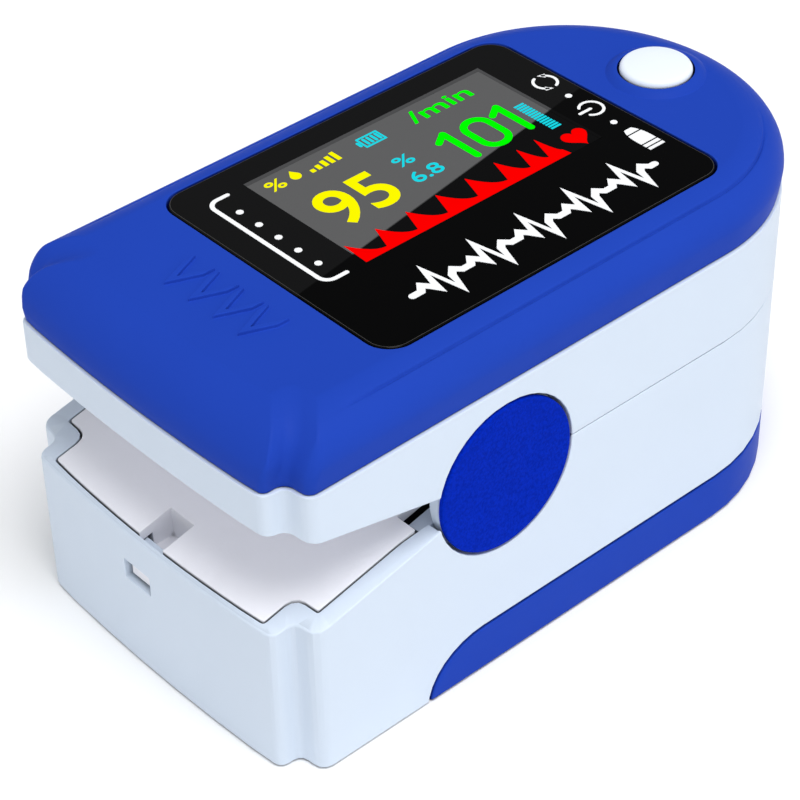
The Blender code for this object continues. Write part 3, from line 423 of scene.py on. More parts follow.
def surface(name, colour, roughness, grain=2500.0, depth=0.000012, specular=0.5, mottle=0.05,
            rough_spread=0.06, speckle=0.0, wear=0.0, metallic=0.0, coat=0.0, sheen=0.0, gap_shade=None):
    """Moulded finish: slow colour drift, fine grain in bump and gloss, worn edges, and painted shade
    darkening narrow gaps.
    """
    made = new_material(name)
    tree = made.node_tree
    coordinates = node(tree, "ShaderNodeTexCoord").outputs["Object"]
    drift = noise(tree, coordinates, 130.0, 3.0)
    fine = noise(tree, coordinates, grain, 3.0)
    tone = mix_colours(tree, drift, shade(colour, 1.0 - mottle), shade(colour, 1.0 + mottle))
    if speckle:
        spots = remap(tree, fine, 0.0, 1.0, 0.35, 0.65)
        dark = mix_colours(tree, drift, shade(colour, 1.0 - speckle), shade(colour, 1.0 - speckle * 0.8))
        tone = mix_colours(tree, spots, dark, tone)
    if wear:
        edges = node(tree, "ShaderNodeMath", operation="MULTIPLY")
        tree.links.new(worn_edges(tree, 0.00025), edges.inputs[0])
        patches = remap(tree, noise(tree, coordinates, 900.0, 4.0), 0.0, 1.0, 0.35, 0.75)
        tree.links.new(patches, edges.inputs[1])
        tone = mix_colours(tree, edges.outputs[0], tone, shade(colour, 1.0 + wear))
    # Painted shade: narrow gaps, found by ambient occlusion, turn to the given dark colour.
    if gap_shade:
        tone = mix_colours(tree, crevice_shade(tree, 0.0006), tone, shade(gap_shade, 1.0))
    shader = node(tree, "ShaderNodeBsdfPrincipled", Metallic=metallic)
    shader.inputs["Specular IOR Level"].default_value = specular
    shader.inputs["Coat Weight"].default_value = coat
    shader.inputs["Sheen Weight"].default_value = sheen
    tree.links.new(tone, shader.inputs["Base Color"])
    gloss = noise(tree, coordinates, 300.0, 4.0, 0.4)
    tree.links.new(remap(tree, gloss, roughness - rough_spread, roughness + rough_spread, 0.3, 0.7),
                   shader.inputs["Roughness"])
    bump = node(tree, "ShaderNodeBump", Strength=0.6, Distance=depth)
    tree.links.new(fine, bump.inputs["Height"])
    tree.links.new(bump.outputs["Normal"], shader.inputs["Normal"])
    output = node(tree, "ShaderNodeOutputMaterial")
    tree.links.new(shader.outputs[0], output.inputs["Surface"])
    return made


def parts_of(made):
    """A material's node tree, its base colour input, what feeds that, and its coordinates."""
    tree = made.node_tree
    by_type = {item.type: item for item in tree.nodes}
    colour = by_type["BSDF_PRINCIPLED"].inputs["Base Color"]
    return tree, colour, colour.links[0].from_socket, by_type["TEX_COORD"].outputs["Object"]


def painted_reflection_tone(name, light, dark, roughness, specular):
    """Glossy face with a painted reflection: lighter on one side of a slanting line."""
    made = surface(name, dark, roughness, grain=900.0, depth=0.000001, specular=specular, mottle=0.08,
                   rough_spread=0.03)
    tree, colour, old, coordinates = parts_of(made)
    separate = node(tree, "ShaderNodeSeparateXYZ")
    tree.links.new(coordinates, separate.inputs[0])
    lean = node(tree, "ShaderNodeMath", operation="MULTIPLY_ADD")
    lean.inputs[1].default_value = REFLECTION_SLOPE
    tree.links.new(separate.outputs["Y"], lean.inputs[0])
    tree.links.new(separate.outputs["X"], lean.inputs[2])
    side = remap(tree, lean.outputs[0], 1.0, 0.0, REFLECTION_AT - REFLECTION_SOFT, REFLECTION_AT + REFLECTION_SOFT)
    tree.links.new(mix_colours(tree, side, old, shade(light, 1.0)), colour)
    return made


def glowing(name, colour, strength):
    """A lit display colour, with the faint cell pattern of a small display."""
    made = new_material(name)
    tree = made.node_tree
    coordinates = node(tree, "ShaderNodeTexCoord").outputs["Object"]
    cells = node(tree, "ShaderNodeTexVoronoi", feature="F1", distance="CHEBYCHEV", Scale=7000.0)
    cells.inputs["Randomness"].default_value = 0.0
    tree.links.new(coordinates, cells.inputs["Vector"])
    grid = remap(tree, cells.outputs["Distance"], 0.0, 1.0, 0.30, 0.62)
    tone = mix_colours(tree, grid, shade(colour, 1.0), shade(colour, 0.92))
    shader = node(tree, "ShaderNodeBsdfPrincipled", Roughness=0.35)
    shader.inputs["Base Color"].default_value = (0.0, 0.0, 0.0, 1.0)
    shader.inputs["Specular IOR Level"].default_value = 0.0
    shader.inputs["Emission Strength"].default_value = strength
    tree.links.new(tone, shader.inputs["Emission Color"])
    output = node(tree, "ShaderNodeOutputMaterial")
    tree.links.new(shader.outputs[0], output.inputs["Surface"])
    return made


# ================================================================ materials
REFLECTION_SLOPE = 0.171         # the painted reflection on the window ends at x + slope * y
REFLECTION_AT = 0.00036
REFLECTION_SOFT = 0.00008        # half the width of the change

BLUE = (0.0145, 0.0535, 0.410)
DISC_BLUE = (0.001, 0.022, 0.460)
WHITE = (0.63, 0.71, 0.82)
INSERT = (0.90, 0.90, 0.95)
# The next three colours are painted shade that darkens narrow gaps and seams.
GAP_SHADE_NAVY = (0.0, 0.002, 0.09)
GAP_SHADE_DARK = (0.02, 0.025, 0.035)
GAP_SHADE_SOFT = (0.30, 0.33, 0.39)

# The last colour given to each of these finishes is painted shade for its narrow gaps.
blue = surface("blue_plastic", BLUE, 0.42, 3200.0, 0.000010, 0.02, 0.035, 0.05, wear=0.35, gap_shade=GAP_SHADE_NAVY)
disc_blue = surface("disc_plastic", DISC_BLUE, 0.62, 5200.0, 0.000030, 0.01, 0.05, 0.05, speckle=0.32)
white = surface("white_plastic", WHITE, 0.42, 3600.0, 0.000006, 0.25, 0.012, 0.05, wear=0.06,
                gap_shade=GAP_SHADE_SOFT)
insert_white = surface("insert_plastic", INSERT, 0.55, 2600.0, 0.000014, 0.20, 0.018, 0.05, wear=0.08,
                       gap_shade=GAP_SHADE_DARK)
button_white = surface("button_plastic", (0.82, 0.88, 0.97), 0.34, 3000.0, 0.000004, 0.3, 0.012, 0.04,
                       gap_shade=GAP_SHADE_NAVY)
pad_grey = surface("pad_silicone", (0.36, 0.39, 0.43), 0.66, 2200.0, 0.000020, 0.3, 0.05, 0.05, sheen=0.25)
# Window, screen and screen border carry a painted reflection: lighter on one side of a slanting line.
window_black = painted_reflection_tone("window_gloss", (0.0060, 0.0060, 0.0062), (0.0010, 0.0010, 0.0011), 0.12, 0.07)
screen_grey = painted_reflection_tone("screen_grey", (0.098, 0.098, 0.099), (0.0030, 0.0030, 0.0032), 0.16, 0.06)
screen_border = painted_reflection_tone("screen_border", (0.062, 0.062, 0.064), (0.0030, 0.0030, 0.0032), 0.16, 0.06)
# Painted highlight: the thin lighter line drawn just inside the window's edge.
rim_highlight = surface("rim_highlight", (0.060, 0.058, 0.056), 0.30, 2600.0, 0.000002, 0.3, 0.10)
bare_display = surface("display_panel", (0.02, 0.02, 0.022), 0.3, 2000.0, 0.000002)
chip_black = surface("chip_package", (0.02, 0.02, 0.022), 0.55, 5000.0, 0.000010)
lens_clear = surface("lens_optic", (0.62, 0.60, 0.58), 0.12, 900.0, 0.000001, 0.6, coat=0.5)
print_white = surface("window_print", (0.86, 0.87, 0.88), 0.5, 2600.0, 0.000002, 0.1, 0.03)


def circuit_board(name):
    """Green solder mask with copper tracks showing through as lighter lines."""
    made = surface(name, (0.010, 0.115, 0.045), 0.38, 3000.0, 0.000004, 0.5, 0.10, coat=0.3)
    tree, colour, old, coordinates = parts_of(made)
    tracks = node(tree, "ShaderNodeTexBrick", Scale=420.0, Mortar_Size=0.06)
    tracks.inputs["Mortar Smooth"].default_value = 0.1
    tracks.inputs["Bias"].default_value = 0.0
    tree.links.new(coordinates, tracks.inputs["Vector"])
    tree.links.new(mix_colours(tree, tracks.outputs["Fac"], old, (0.03, 0.23, 0.09, 1.0)), colour)
    return made


def cell_sleeve(name):
    """Plain sleeve of a battery, dark at one end and light along the rest."""
    made = surface(name, (0.05, 0.055, 0.065), 0.28, 2600.0, 0.000003, 0.5, 0.08, coat=0.4)
    tree, colour, old, coordinates = parts_of(made)
    separate = node(tree, "ShaderNodeSeparateXYZ")
    tree.links.new(coordinates, separate.inputs[0])
    band = remap(tree, separate.outputs["Y"], 0.0, 1.0, 0.0098, 0.0100)
    tree.links.new(mix_colours(tree, band, old, (0.33, 0.36, 0.40, 1.0)), colour)
    return made


board_green = circuit_board("circuit_board")
steel = surface("spring_steel", (0.60, 0.60, 0.61), 0.30, 4200.0, 0.000006, mottle=0.10,
                rough_spread=0.12, metallic=1.0)
sleeve = cell_sleeve("cell_sleeve")
glow_yellow = glowing("glow_yellow", (1.0, 0.97, 0.0), 1.0)
glow_green = glowing("glow_green", (0.0, 1.0, 0.0), 1.0)
glow_cyan = glowing("glow_cyan", (0.01, 0.72, 0.82), 1.0)
glow_red = glowing("glow_red", (1.0, 0.0, 0.0), 1.0)


# ================================================================ placing pieces
def place(piece, finish, body, slot, *replaced):
    """Give a piece its material and its body, and hide the CAD nodes it stands for; the slot is not used."""
    piece.data.materials.clear()
    piece.data.materials.append(finish)
    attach(piece, body)
    if replaced:
        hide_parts(*replaced)
    return piece


# ================================================================ blue top cover
CREASE_INSET = 0.00163
CREASE_DEPTH = 0.00018
CREASE_FADE = 0.0035
CREASE_Y = (-0.0225, 0.0245)
MARK_STEPS = (-0.00405, -0.00135, 0.00135, 0.00405)
MARK_TIP_Y = -0.02255
MARK_REACH = 0.0026
MARK_HALF = 0.0011
MARK_STROKE = 0.0011        # measured along Y, so the arms are half as thick across
MARK_RISE = 0.00028
SWELL = 0.00040             # height of the soft rise round the button, and its foot below the top
SWELL_FOOT = 0.00030
SWELL_RADIUS = 0.0046
SWELL_WIDTH = 0.0015
BUTTON_Y = 0.0224
BUTTON_RADIUS = 0.00285
SEAT_MARGIN = 0.002         # the window rests on this much of the cover
CUT_Z = 0.0274              # the openings are cut from below the ceiling to above the cover
CUT_TOP_Z = 0.032


def cover_profile():
    """(inset, height, crease share) up the side of the cover, from its lower edge."""
    profile = [(0.00030, COLOUR_SPLIT_Z - 0.00005, 0.0), (0.00024, COLOUR_SPLIT_Z + 0.00004, 0.0),
               (0.00018, 0.02590, 0.0), (0.00008, 0.0266, 0.0)]
    for step in range(12):
        angle = math.radians(65.0) * step / 11
        profile.append((SIDE_ROUND * (1.0 - math.cos(angle)),
                        SIDE_ROUND_Z + SIDE_ROUND * math.sin(angle), 0.0))
    profile += [(CREASE_INSET - 0.00003, 0.02982, 0.3), (CREASE_INSET + 0.00003, 0.029845, 1.0),
                (CREASE_INSET + 0.00010, 0.02988, 0.9), (CREASE_INSET + 0.00019, 0.02993, 0.0),
                (0.00215, 0.03007, 0.0), (0.00250, 0.03020, 0.0), (0.00285, 0.03030, 0.0),
                (0.00315, 0.03036, 0.0), (0.00345, TOP_Z, 0.0)]
    return profile


def crease_strength(y):
    """The crease is full along the sides, and fades out towards both ends."""
    front = (y - CREASE_Y[0]) / CREASE_FADE
    rear = (CREASE_Y[1] - y) / CREASE_FADE
    return max(0.0, min(1.0, front, rear))


def cover_ring(inset, height, crease):
    """One ring of the cover, with its front drawn back in a large quarter round."""
    rise = min((height - COLOUR_SPLIT_Z) / FRONT_ROUND, 1.0)
    front = max(FRONT_ROUND * (1.0 - math.sqrt(1.0 - rise * rise)), inset)
    return [(x, y, height - CREASE_DEPTH * crease * crease_strength(y))
            for x, y in body_outline(inset, front)]


def press_mark(name, x):
    """A raised arrowhead, one of a row that marks where the thumb presses."""
    tip = MARK_TIP_Y
    back = tip + MARK_REACH
    outline = [(x, tip), (x + MARK_HALF, back), (x + MARK_HALF, back + MARK_STROKE),
               (x, tip + MARK_STROKE), (x - MARK_HALF, back + MARK_STROKE), (x - MARK_HALF, back)]
    return plate(name, outline, TOP_Z - 0.0004, TOP_Z + MARK_RISE)


def button_swell():
    """The cover rises gently round the button."""
    profile = [(SWELL_RADIUS, TOP_Z - 0.0010)]
    for step in range(13):
        share = step / 12
        rise = SWELL - (SWELL_FOOT + SWELL) * (0.5 - 0.5 * math.cos(math.pi * (1.0 - share)))
        profile.append((SWELL_RADIUS - SWELL_WIDTH * share, TOP_Z + rise))
    swell = turned("button_swell", profile, 96)
    swell.location.y = BUTTON_Y
    return swell


def window_outline(inset):
    """The window seen from above, drawn in by a distance."""
    return rounded_rectangle(WINDOW_HALF[0] - inset, WINDOW_HALF[1] - inset, WINDOW_RADIUS - inset,
                             (0.0, WINDOW_Y))


def top_cover():
    """The blue cover with its marks, hollow inside and open for the window and the button."""
    cover = loft("top_cover_shell", [cover_ring(*row) for row in cover_profile()])
    marks = [press_mark(f"mark_{index}", x) for index, x in enumerate(MARK_STEPS)]
    boolean(cover, "UNION", button_swell(), *marks)
    cavity = plate("cavity", body_outline(0.0014, 0.0036), 0.0245, CEILING_Z)
    seat = plate("seat", window_outline(-GAP), WINDOW_Z[0] - GAP, CUT_TOP_Z)
    opening = plate("opening", rounded_rectangle(
        WINDOW_HALF[0] - SEAT_MARGIN, WINDOW_HALF[1] - SEAT_MARGIN, 0.001, (0.0, WINDOW_Y)), CUT_Z, CUT_TOP_Z)
    hole = turned("hole", [(BUTTON_RADIUS + GAP, CUT_Z), (BUTTON_RADIUS + GAP, CUT_TOP_Z)])
    hole.location.y = BUTTON_Y
    bpy.context.view_layer.update()
    boolean(cover, "DIFFERENCE", cavity, seat, opening, hole)
    round_edges(cover, 0.00008, 2, 40.0)
    smooth(cover)
    return place(cover, blue, "upper_half", "blue_cover", "top_cover")


# ================================================================ window and display
PRINT_Z = WINDOW_Z[1]
# Where the painted highlight line lies on the window's rounded edge, and half its width.
RIM_HIGHLIGHT_INSET = 0.00017
RIM_HIGHLIGHT_HALF = 0.055       # in millimetres, as is all that a Drawing is given
SCREEN_X = (-0.0100, 0.0036)
SCREEN_Y = (-0.0106, 0.0129)
SCREEN_RISE = 0.000012
INK = 0.000030


def window():
    """Black window with a polished, slightly rounded edge, and a lighter line painted along that edge as its
    highlight.
    """
    profile = [(0.0, WINDOW_Z[0]), (0.0, WINDOW_Z[1] - 0.00016), (0.00003, WINDOW_Z[1] - 0.00009),
               (0.00009, WINDOW_Z[1] - 0.00003), (0.00018, WINDOW_Z[1])]
    rings = [flat(window_outline(inset), height) for inset, height in profile]
    glass = smooth(loft("window_glass", rings), 60.0)
    # Painted highlight: a thin lighter line just inside the window's edge.
    rim = Drawing(WINDOW_Z[1] - 0.00004)
    rim.ring([(x / MM, y / MM) for x, y in window_outline(RIM_HIGHLIGHT_INSET)], RIM_HIGHLIGHT_HALF)
    rim.done("rim_highlight_line", rim_highlight, "window")
    return place(glass, window_black, "upper_half", "window", "display_window")


class Drawing:
    """Flat marks on the window, gathered into one thin solid mesh."""

    def __init__(self, base):
        self.shape = bmesh.new()
        self.base = base

    def area(self, outline):
        """A filled outline, given in millimetres as (x, y)."""
        ring = [(x * MM, y * MM) for x, y in outline]
        add_loft(self.shape, [flat(ring, self.base), flat(ring, self.base + INK)])

    def spot(self, centre, radius):
        """A round dot."""
        self.area([(centre[0] + x, centre[1] + y) for x, y in circle(radius, 24)])

    def line(self, points, width):
        """A band of even width with round ends along an open line."""
        half = width / 2.0
        sides = ([], [])
        for index, point in enumerate(points):
            before = Vector(points[max(index - 1, 0)])
            after = Vector(points[min(index + 1, len(points) - 1)])
            here = Vector(point)
            way_in = (here - before).normalized() if index else (after - here).normalized()
            way_out = (after - here).normalized() if index < len(points) - 1 else way_in
            way = (way_in + way_out).normalized()
            across = Vector((-way.y, way.x))
            reach = half / max(across.dot(Vector((-way_in.y, way_in.x))), 0.4)
            sides[0].append(here + across * reach)
            sides[1].append(here - across * reach)
        first = Vector(points[1]) - Vector(points[0])
        last = Vector(points[-1]) - Vector(points[-2])
        end_angle = math.degrees(math.atan2(last.y, last.x))
        start_angle = math.degrees(math.atan2(first.y, first.x))
        cap_end = arc(points[-1], half, end_angle + 90.0, end_angle - 90.0, 8)[1:-1]
        cap_start = arc(points[0], half, start_angle - 90.0, start_angle - 270.0, 8)[1:-1]
        outline = [tuple(point) for point in sides[0]] + cap_end
        outline += [tuple(point) for point in reversed(sides[1])] + cap_start
        self.area(outline)

    def ring(self, outline, half):
        """A closed band of even width along an outline."""
        count = len(outline)
        inner, outer = [], []
        for index, point in enumerate(outline):
            way = (Vector(outline[(index + 1) % count]) - Vector(outline[index - 1])).normalized()
            across = Vector((way.y, -way.x))
            inner.append(Vector(point) - across * half)
            outer.append(Vector(point) + across * half)
        low, high = self.base, self.base + INK
        rings = [[self.shape.verts.new((x * MM, y * MM, height)) for x, y in side]
                 for side, height in ((inner, low), (outer, low), (outer, high), (inner, high))]
        for first, second in zip(rings, rings[1:] + rings[:1]):
            for index in range(count):
                after = (index + 1) % count
                self.shape.faces.new((first[index], first[after], second[after], second[index]))

    def text(self, words, x_range, y_range, weight):
        """Lettering fitted into a rectangle, reading along +Y."""
        curve = bpy.data.curves.new("lettering", "FONT")
        curve.body = words
        curve.offset = weight
        curve.fill_mode = "BOTH"
        curve.resolution_u = 6
        curve.extrude = INK / 2.0
        drawn = add_object("lettering", curve)
        bpy.context.view_layer.update()
        evaluated = drawn.evaluated_get(bpy.context.evaluated_depsgraph_get())
        mesh = bpy.data.meshes.new_from_object(evaluated)
        across = [vertex.co.x for vertex in mesh.vertices]
        up = [vertex.co.y for vertex in mesh.vertices]
        scale_y = (y_range[1] - y_range[0]) * MM / (max(across) - min(across))
        scale_x = (x_range[1] - x_range[0]) * MM / (max(up) - min(up))
        for vertex in mesh.vertices:
            x = x_range[1] * MM - (vertex.co.y - min(up)) * scale_x
            y = y_range[0] * MM + (vertex.co.x - min(across)) * scale_y
            vertex.co = (x, y, self.base + INK / 2.0 + vertex.co.z)
        letters = bmesh.new()
        letters.from_mesh(mesh)
        bmesh.ops.remove_doubles(letters, verts=letters.verts, dist=1e-7)
        letters.to_mesh(mesh)
        letters.free()
        self.shape.from_mesh(mesh)
        bpy.data.objects.remove(drawn)

    def done(self, name, finish, slot):
        """Make the marks one piece on the upper half."""
        piece = add_object(name, mesh_from(name, self.shape))
        return place(piece, finish, "upper_half", slot)


def screen():
    """The display's lit area, a hair above the window's black."""
    middle = (sum(SCREEN_X) / 2.0, sum(SCREEN_Y) / 2.0)
    outline = rounded_rectangle((SCREEN_X[1] - SCREEN_X[0]) / 2.0, (SCREEN_Y[1] - SCREEN_Y[0]) / 2.0,
                                0.00006, middle, 3)
    panel = loft("screen_area", [flat(outline, PRINT_Z - 0.0001), flat(outline, PRINT_Z + SCREEN_RISE)])
    # The panel's grey is a painted reflection on an otherwise near-black screen.
    place(panel, screen_grey, "upper_half", "display")
    border = Drawing(PRINT_Z + SCREEN_RISE - INK / 2.0)
    far, near, left, right = SCREEN_X[0] / MM, SCREEN_X[1] / MM, SCREEN_Y[0] / MM, SCREEN_Y[1] / MM
    side, end = far + 0.38, right - 0.30
    border.area([(far, left), (side, left), (side, right), (far, right)])
    border.area([(side, end), (near, end), (near, right), (side, right)])
    border.done("screen_border_strips", screen_border, "display")


def wave():
    """Red pulse wave along the near edge: steep rises and hollow falls."""
    base_x = 3.55
    rise = 0.78
    peaks = []
    for index in range(9):
        late = max(index - 5, 0)
        peaks.append((1.0 - 0.09 * index, -10.4 + 3.0 * index - 0.35 * late - 0.25 * late * late))
    outline = [(base_x, peaks[0][1] - 0.12)]
    for index in range(8):
        (peak_x, y), (_, next_y) = peaks[index], peaks[index + 1]
        valley_x = 3.1 - 0.05 * index
        fall_length = next_y - rise - y
        outline.append((peak_x, y))
        for part in (0.10, 0.2, 0.35, 0.5, 0.65, 0.8, 0.92):
            fall = 1.0 - (1.0 - part) ** 2.1
            outline.append((peak_x + (valley_x - peak_x) * fall, y + fall_length * part))
        outline.append((valley_x, y + fall_length))
    outline.append((base_x, outline[-1][1] + 0.15))
    return outline


def heart(centre, size):
    """Heart outline with its point towards +X."""
    points = []
    for step in range(40):
        turn = math.tau * step / 40
        across = 16.0 * math.sin(turn) ** 3
        up = (13.0 * math.cos(turn) - 5.0 * math.cos(2 * turn) - 2.0 * math.cos(3 * turn)
              - math.cos(4 * turn))
        points.append((centre[0] - up * size / 30.0, centre[1] + across * size / 32.0))
    return points


def drop(centre, size):
    """Outline of a falling drop with its point towards -X."""
    radius = size * 0.34
    belly = arc(centre, radius, -60.0, 60.0, 14) + arc(centre, radius, 60.0, 130.0, 6)[1:]
    return belly + [(centre[0] - size * 0.62, centre[1])] + arc(centre, radius, 230.0, 300.0, 6)[:-1]


def screen_marks():
    """Everything the lit display shows: two readings, small icons and the wave."""
    base = PRINT_Z + SCREEN_RISE
    yellow = Drawing(base)
    yellow.text("95", (-5.25, -0.55), (-8.8, -2.8), 0.012)
    yellow.text("%", (-8.95, -7.65), (-9.7, -8.2), 0.010)
    yellow.area(drop((-8.2, -7.1), 1.3))
    for step in range(5):
        y = -5.9 + 0.62 * step
        yellow.area([(-8.05 - 0.2 * step, y), (-7.65, y), (-7.65, y + 0.36), (-8.05 - 0.2 * step, y + 0.36)])
    yellow.done("screen_yellow", glow_yellow, "display")
    green = Drawing(base)
    for y in (4.5, 10.0):
        green.line([(-4.15, y - 1.05), (-4.85, y - 0.05)], 0.56)
        green.line([(-4.90, y), (-1.05, y)], 0.60)
    green.ring(rounded_rectangle(1.95, 1.12, 1.11, (-2.90, 7.1), 8), 0.30)
    green.text("/min", (-8.95, -7.35), (4.0, 10.1), 0.010)
    green.done("screen_green", glow_green, "display")
    cyan = Drawing(base)
    cyan.text("%", (-4.95, -3.65), (-0.8, 0.8), 0.010)
    cyan.text("6.8", (-2.65, -1.25), (-1.2, 1.6), 0.010)
    cyan.line([(-8.75, -0.72), (-7.5, -0.72), (-7.5, 1.15), (-8.75, 1.15), (-8.75, -0.72)], 0.16)
    cyan.line([(-8.35, -0.98), (-7.9, -0.98)], 0.24)
    for step in range(4):
        y = -0.32 + 0.40 * step
        cyan.line([(-8.48, y), (-7.77, y)], 0.22)
    for step in range(14):
        x = -3.95 + 0.31 * step
        cyan.area([(x, 10.95), (x + 0.19, 10.95), (x + 0.19, 11.9), (x, 11.9)])
    cyan.done("screen_cyan", glow_cyan, "display")
    red = Drawing(base)
    red.area(wave())
    red.area(heart((2.25, 11.5), 2.25))
    red.done("screen_red", glow_red, "display")


def arrow_head(drawing, tip, heading, size):
    """A small triangle that points along a heading in degrees."""
    corners = []
    for turn, reach in ((0.0, 1.0), (130.0, 0.85), (-130.0, 0.85)):
        angle = math.radians(heading + turn)
        corners.append((tip[0] + size * reach * math.cos(angle), tip[1] + size * reach * math.sin(angle)))
    drawing.area(corners)


def window_print():
    """White print on the black window: bracket, icons and a pulse line."""
    ink = Drawing(PRINT_Z)
    near, far, level, legs = 3.5, -9.75, -14.2, -12.3
    bracket = [(far, legs)] + arc((far + 0.9, level + 0.9), 0.9, 180.0, 270.0, 8)
    bracket += arc((near - 0.9, level + 0.9), 0.9, -90.0, 0.0, 8) + [(near, legs)]
    ink.line(bracket, 0.36)
    for step in range(5):
        ink.spot((-7.4 + 2.18 * step, -13.05), 0.29)
    for start in (20.0, 200.0):
        centre = (-4.9, 15.25)
        ring = arc(centre, 0.95, start, start + 130.0, 14)
        ink.line(ring, 0.24)
        arrow_head(ink, ring[-1], start + 215.0, 0.42)
    ink.spot((-2.25, 15.15), 0.28)
    ink.line(arc((0.2, 15.15), 0.95, -50.0, 230.0, 28), 0.24)
    ink.line([(0.2, 15.05), (0.2, 13.95)], 0.28)
    ink.spot((2.75, 14.98), 0.28)
    for low, high in ((4.15, 4.75), (4.9, 6.35), (6.5, 6.85), (7.0, 7.3)):
        ink.area(fingertip_slice(low, high))
    ink.line(pulse_line(), 0.60)
    ink.done("window_print_white", print_white, "window")


def fingertip_slice(low, high):
    """One stripe of the fingertip icon, whose tip points towards -X."""
    def half(x):
        part = min((x - 3.95) / 1.9, 1.0)
        return 0.78 * math.sqrt(max(1.0 - (1.0 - part) ** 2, 0.0))
    steps = 5
    xs = [low + (high - low) * step / steps for step in range(steps + 1)]
    return [(x, 15.0 - half(x)) for x in xs] + [(x, 15.0 + half(x)) for x in reversed(xs)]


def pulse_line():
    """A generic heartbeat trace across the lower band of the window."""
    level = 8.8
    points = [(level, -10.9)]
    for start in (-10.1, -5.4, -0.7, 4.0, 8.7):
        points += [(level, start), (level - 0.55, start + 0.45), (level, start + 0.9),
                   (level + 0.5, start + 1.2), (level - 1.8, start + 1.8), (level + 1.6, start + 2.4),
                   (level, start + 2.9), (level - 0.5, start + 3.4), (level, start + 3.9)]
    points.append((level, 13.1))
    return points


# ================================================================ round pieces
def button():
    """White button: short wall, soft shoulder and a barely crowned top."""
    low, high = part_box("power_button")
    crown = high[2]
    edge = 0.00045          # radius of the shoulder
    dome = 0.00014          # height of the crown above it
    profile = [(0.0035, low[2]), (0.0035, low[2] + 0.00025), (BUTTON_RADIUS, low[2] + 0.00026)]
    for step in range(9):
        angle = math.pi / 2.0 * step / 8
        profile.append((BUTTON_RADIUS - edge * (1.0 - math.cos(angle)),
                        crown - dome - edge * (1.0 - math.sin(angle))))
    for share in (0.66, 0.48, 0.30, 0.12):
        profile.append((BUTTON_RADIUS * share, crown - dome * share * share))
    piece = turned("round_button", profile, 96)
    for vertex in piece.data.vertices:
        vertex.co.y += BUTTON_Y
    return place(smooth(piece), button_white, "button", "button", "power_button")


def across_disc(name, sign, profile):
    """A turned piece about the hinge axis: (radius, |x|) points from inside to outside."""
    piece = turned(name, profile, 128)
    for vertex in piece.data.vertices:
        x, y, z = vertex.co
        vertex.co = (sign * z, PIVOT[0] + y * sign, PIVOT[1] + x)
    return smooth(reshaped(piece, face_outwards))


def reach_of(cad_node):
    """Inner face, outer face and radius of a CAD disc that lies across the hinge axis."""
    low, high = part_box(cad_node)
    inner, outer = sorted((abs(low[0]), abs(high[0])))
    return inner, outer, (high[1] - low[1]) / 2.0


def hinge_side(sign, label):
    """Grained blue disc with a fine lip, on a white drum."""
    inner, outer, radius = reach_of(f"hinge_cap_{label}")
    radius += 0.00006
    cap = across_disc(f"hinge_disc_{label}", sign, [
        (radius - 0.0001, inner), (radius, inner + 0.00008), (radius, outer - 0.00014),
        (radius - 0.00004, outer - 0.00006), (radius - 0.00013, outer - 0.00001),
        (radius - 0.00024, outer), (radius * 0.6, outer - 0.00002), (radius * 0.1, outer - 0.00003)])
    place(cap, disc_blue, "lower_half", "hinge_cap", f"hinge_cap_{label}")
    inner, outer, radius = reach_of(f"hinge_drum_{label}")
    drum = across_disc(f"hinge_drum_body_{label}", sign, [
        (radius - 0.0002, inner), (radius, inner + 0.0002), (radius, outer - 0.0001),
        (radius - 0.0001, outer)])
    place(drum, white, "lower_half", "white_shell", f"hinge_drum_{label}")


# ================================================================ housings
def housings():
    """The white shells, inserts, pads and battery cover, with rounded edges."""
    rows = (
        ("upper_housing", "upper_shell", 0.00010, white, "upper_half", "white_shell"),
        ("upper_inner_plate", "upper_insert", 0.00006, insert_white, "upper_half", "insert"),
        ("upper_pad", "upper_finger_pad", 0.00010, pad_grey, "upper_half", "finger_pad"),
        ("lower_housing", "lower_shell", 0.00010, white, "lower_half", "white_shell"),
        ("lower_inner_plate", "lower_insert", 0.00004, insert_white, "lower_half", "insert"),
        ("lower_pad", "lower_finger_pad", 0.00010, pad_grey, "lower_half", "finger_pad"),
        ("battery_door", "battery_cover", 0.00012, blue, "bay_cover", "blue_cover"),
    )
    for name, source, width, finish, body, slot in rows:
        envelope = rim_envelope() if source == "lower_shell" else None
        piece = refined(name, source, width, envelope)
        if source == "lower_shell":
            close_seam(piece)
        smooth(piece)
        place(piece, finish, body, slot, source)


CARRIED = {
    "display_module": bare_display, "display_frame": insert_white, "main_board": board_green,
    "controller_chip": chip_black, "signal_chip": chip_black, "switch_body": chip_black,
    "switch_plunger": button_white, "emitter_board": board_green, "emitter_lens": lens_clear,
    "detector_board": board_green, "detector_lens": lens_clear, "battery_left": sleeve,
    "battery_right": sleeve,
}


def carried_over():
    """Better materials for the CAD nodes that keep their shape."""
    for name, item in frame["nodes"].items():
        if item.hide_render:
            continue
        finish = CARRIED.get(name, steel)
        for material_slot in item.material_slots:
            material_slot.material = finish


# ================================================================ stage, lights, camera
WORLD_BRIGHT = 0.74
WORLD_DIM = 0.15            # strength of the light from the darker side
DIM_TOWARDS = (-0.592, 0.514, 0.621)
DIM_RANGE = (0.55, 0.92)
FRONT_DIM = 0.70            # share of the light that comes from the front
FRONT_RANGE = (0.2, 1.0)
KEY_PLACE = (0.34, -0.06, 1.00)
KEY_TARGET = (0.0, 0.0, 0.015)
KEY_SIZE = 0.70
KEY_POWER = 8.2
AZIMUTH = 49.04
ELEVATION = 38.41
ROLL = 1.5
DISTANCE = 0.20186
TARGET = (-0.00106, -0.00374, 0.01170)
LENS = 118.15


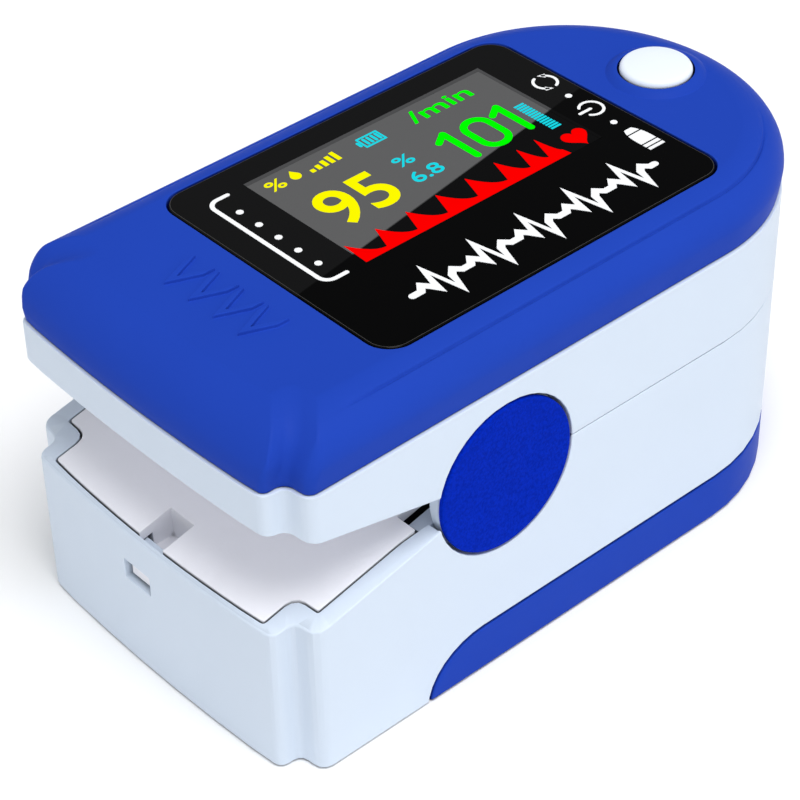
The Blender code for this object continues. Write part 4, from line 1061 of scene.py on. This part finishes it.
def stage():
    """Plain pale floor."""
    floor = box("floor", (-1.5, -1.5, -0.01), (1.5, 1.5, -0.00002))
    made = new_material("floor_paper")
    tree = made.node_tree
    shader = node(tree, "ShaderNodeBsdfPrincipled", Roughness=0.9)
    shader.inputs["Base Color"].default_value = (0.97, 0.97, 0.97, 1.0)
    shader.inputs["Specular IOR Level"].default_value = 0.0
    output = node(tree, "ShaderNodeOutputMaterial")
    tree.links.new(shader.outputs[0], output.inputs["Surface"])
    floor.data.materials.append(made)


def key_light():
    """One soft round lamp above and to the right."""
    light = bpy.data.lights.new("key", "AREA")
    light.shape = "DISK"
    light.size = KEY_SIZE
    light.energy = KEY_POWER
    lamp = add_object("key", light)
    lamp.location = KEY_PLACE
    aim = Vector(KEY_TARGET) - Vector(KEY_PLACE)
    lamp.rotation_euler = aim.to_track_quat("-Z", "Y").to_euler()


def world_light():
    """Even light all round, dimmer from behind on the left and from the front."""
    world = bpy.data.worlds.new("studio")
    bpy.context.scene.world = world
    world.use_nodes = True
    tree = world.node_tree
    background = tree.nodes["Background"]
    background.inputs["Color"].default_value = (0.97, 0.985, 1.0, 1.0)
    sky = node(tree, "ShaderNodeTexCoord").outputs["Generated"]
    level = node(tree, "ShaderNodeMath", operation="MULTIPLY")
    for slot, (direction, near, far, span) in enumerate((
            (DIM_TOWARDS, WORLD_BRIGHT, WORLD_DIM, DIM_RANGE),
            ((0.0, -1.0, 0.0), 1.0, FRONT_DIM, FRONT_RANGE))):
        towards = node(tree, "ShaderNodeVectorMath", operation="DOT_PRODUCT")
        towards.inputs[1].default_value = direction
        tree.links.new(sky, towards.inputs[0])
        tree.links.new(remap(tree, towards.outputs["Value"], near, far, *span), level.inputs[slot])
    tree.links.new(level.outputs[0], background.inputs["Strength"])


def camera():
    """The main view: from the right of the press end and above."""
    azimuth, elevation, roll = (math.radians(value) for value in (AZIMUTH, ELEVATION, ROLL))
    back = Vector((math.sin(azimuth) * math.cos(elevation), -math.cos(azimuth) * math.cos(elevation),
                   math.sin(elevation)))
    level = Vector((math.cos(azimuth), math.sin(azimuth), 0.0))
    upright = back.cross(level)
    right = level * math.cos(roll) - upright * math.sin(roll)
    up = level * math.sin(roll) + upright * math.cos(roll)
    data = bpy.data.cameras.new("camera")
    data.sensor_width = 36.0
    data.lens = LENS
    data.clip_start = 0.01
    data.clip_end = 10.0
    made = add_object("camera", data)
    rotation = Matrix((right, up, back)).transposed().to_4x4()
    made.matrix_world = Matrix.Translation(Vector(TARGET) + back * DISTANCE) @ rotation
    bpy.context.scene.camera = made


bpy.context.scene.view_settings.view_transform = "Standard"
top_cover()
window()
screen()
screen_marks()
window_print()
button()
hinge_side(1, "right")
hinge_side(-1, "left")
housings()
carried_over()
stage()
world_light()
key_light()
camera()
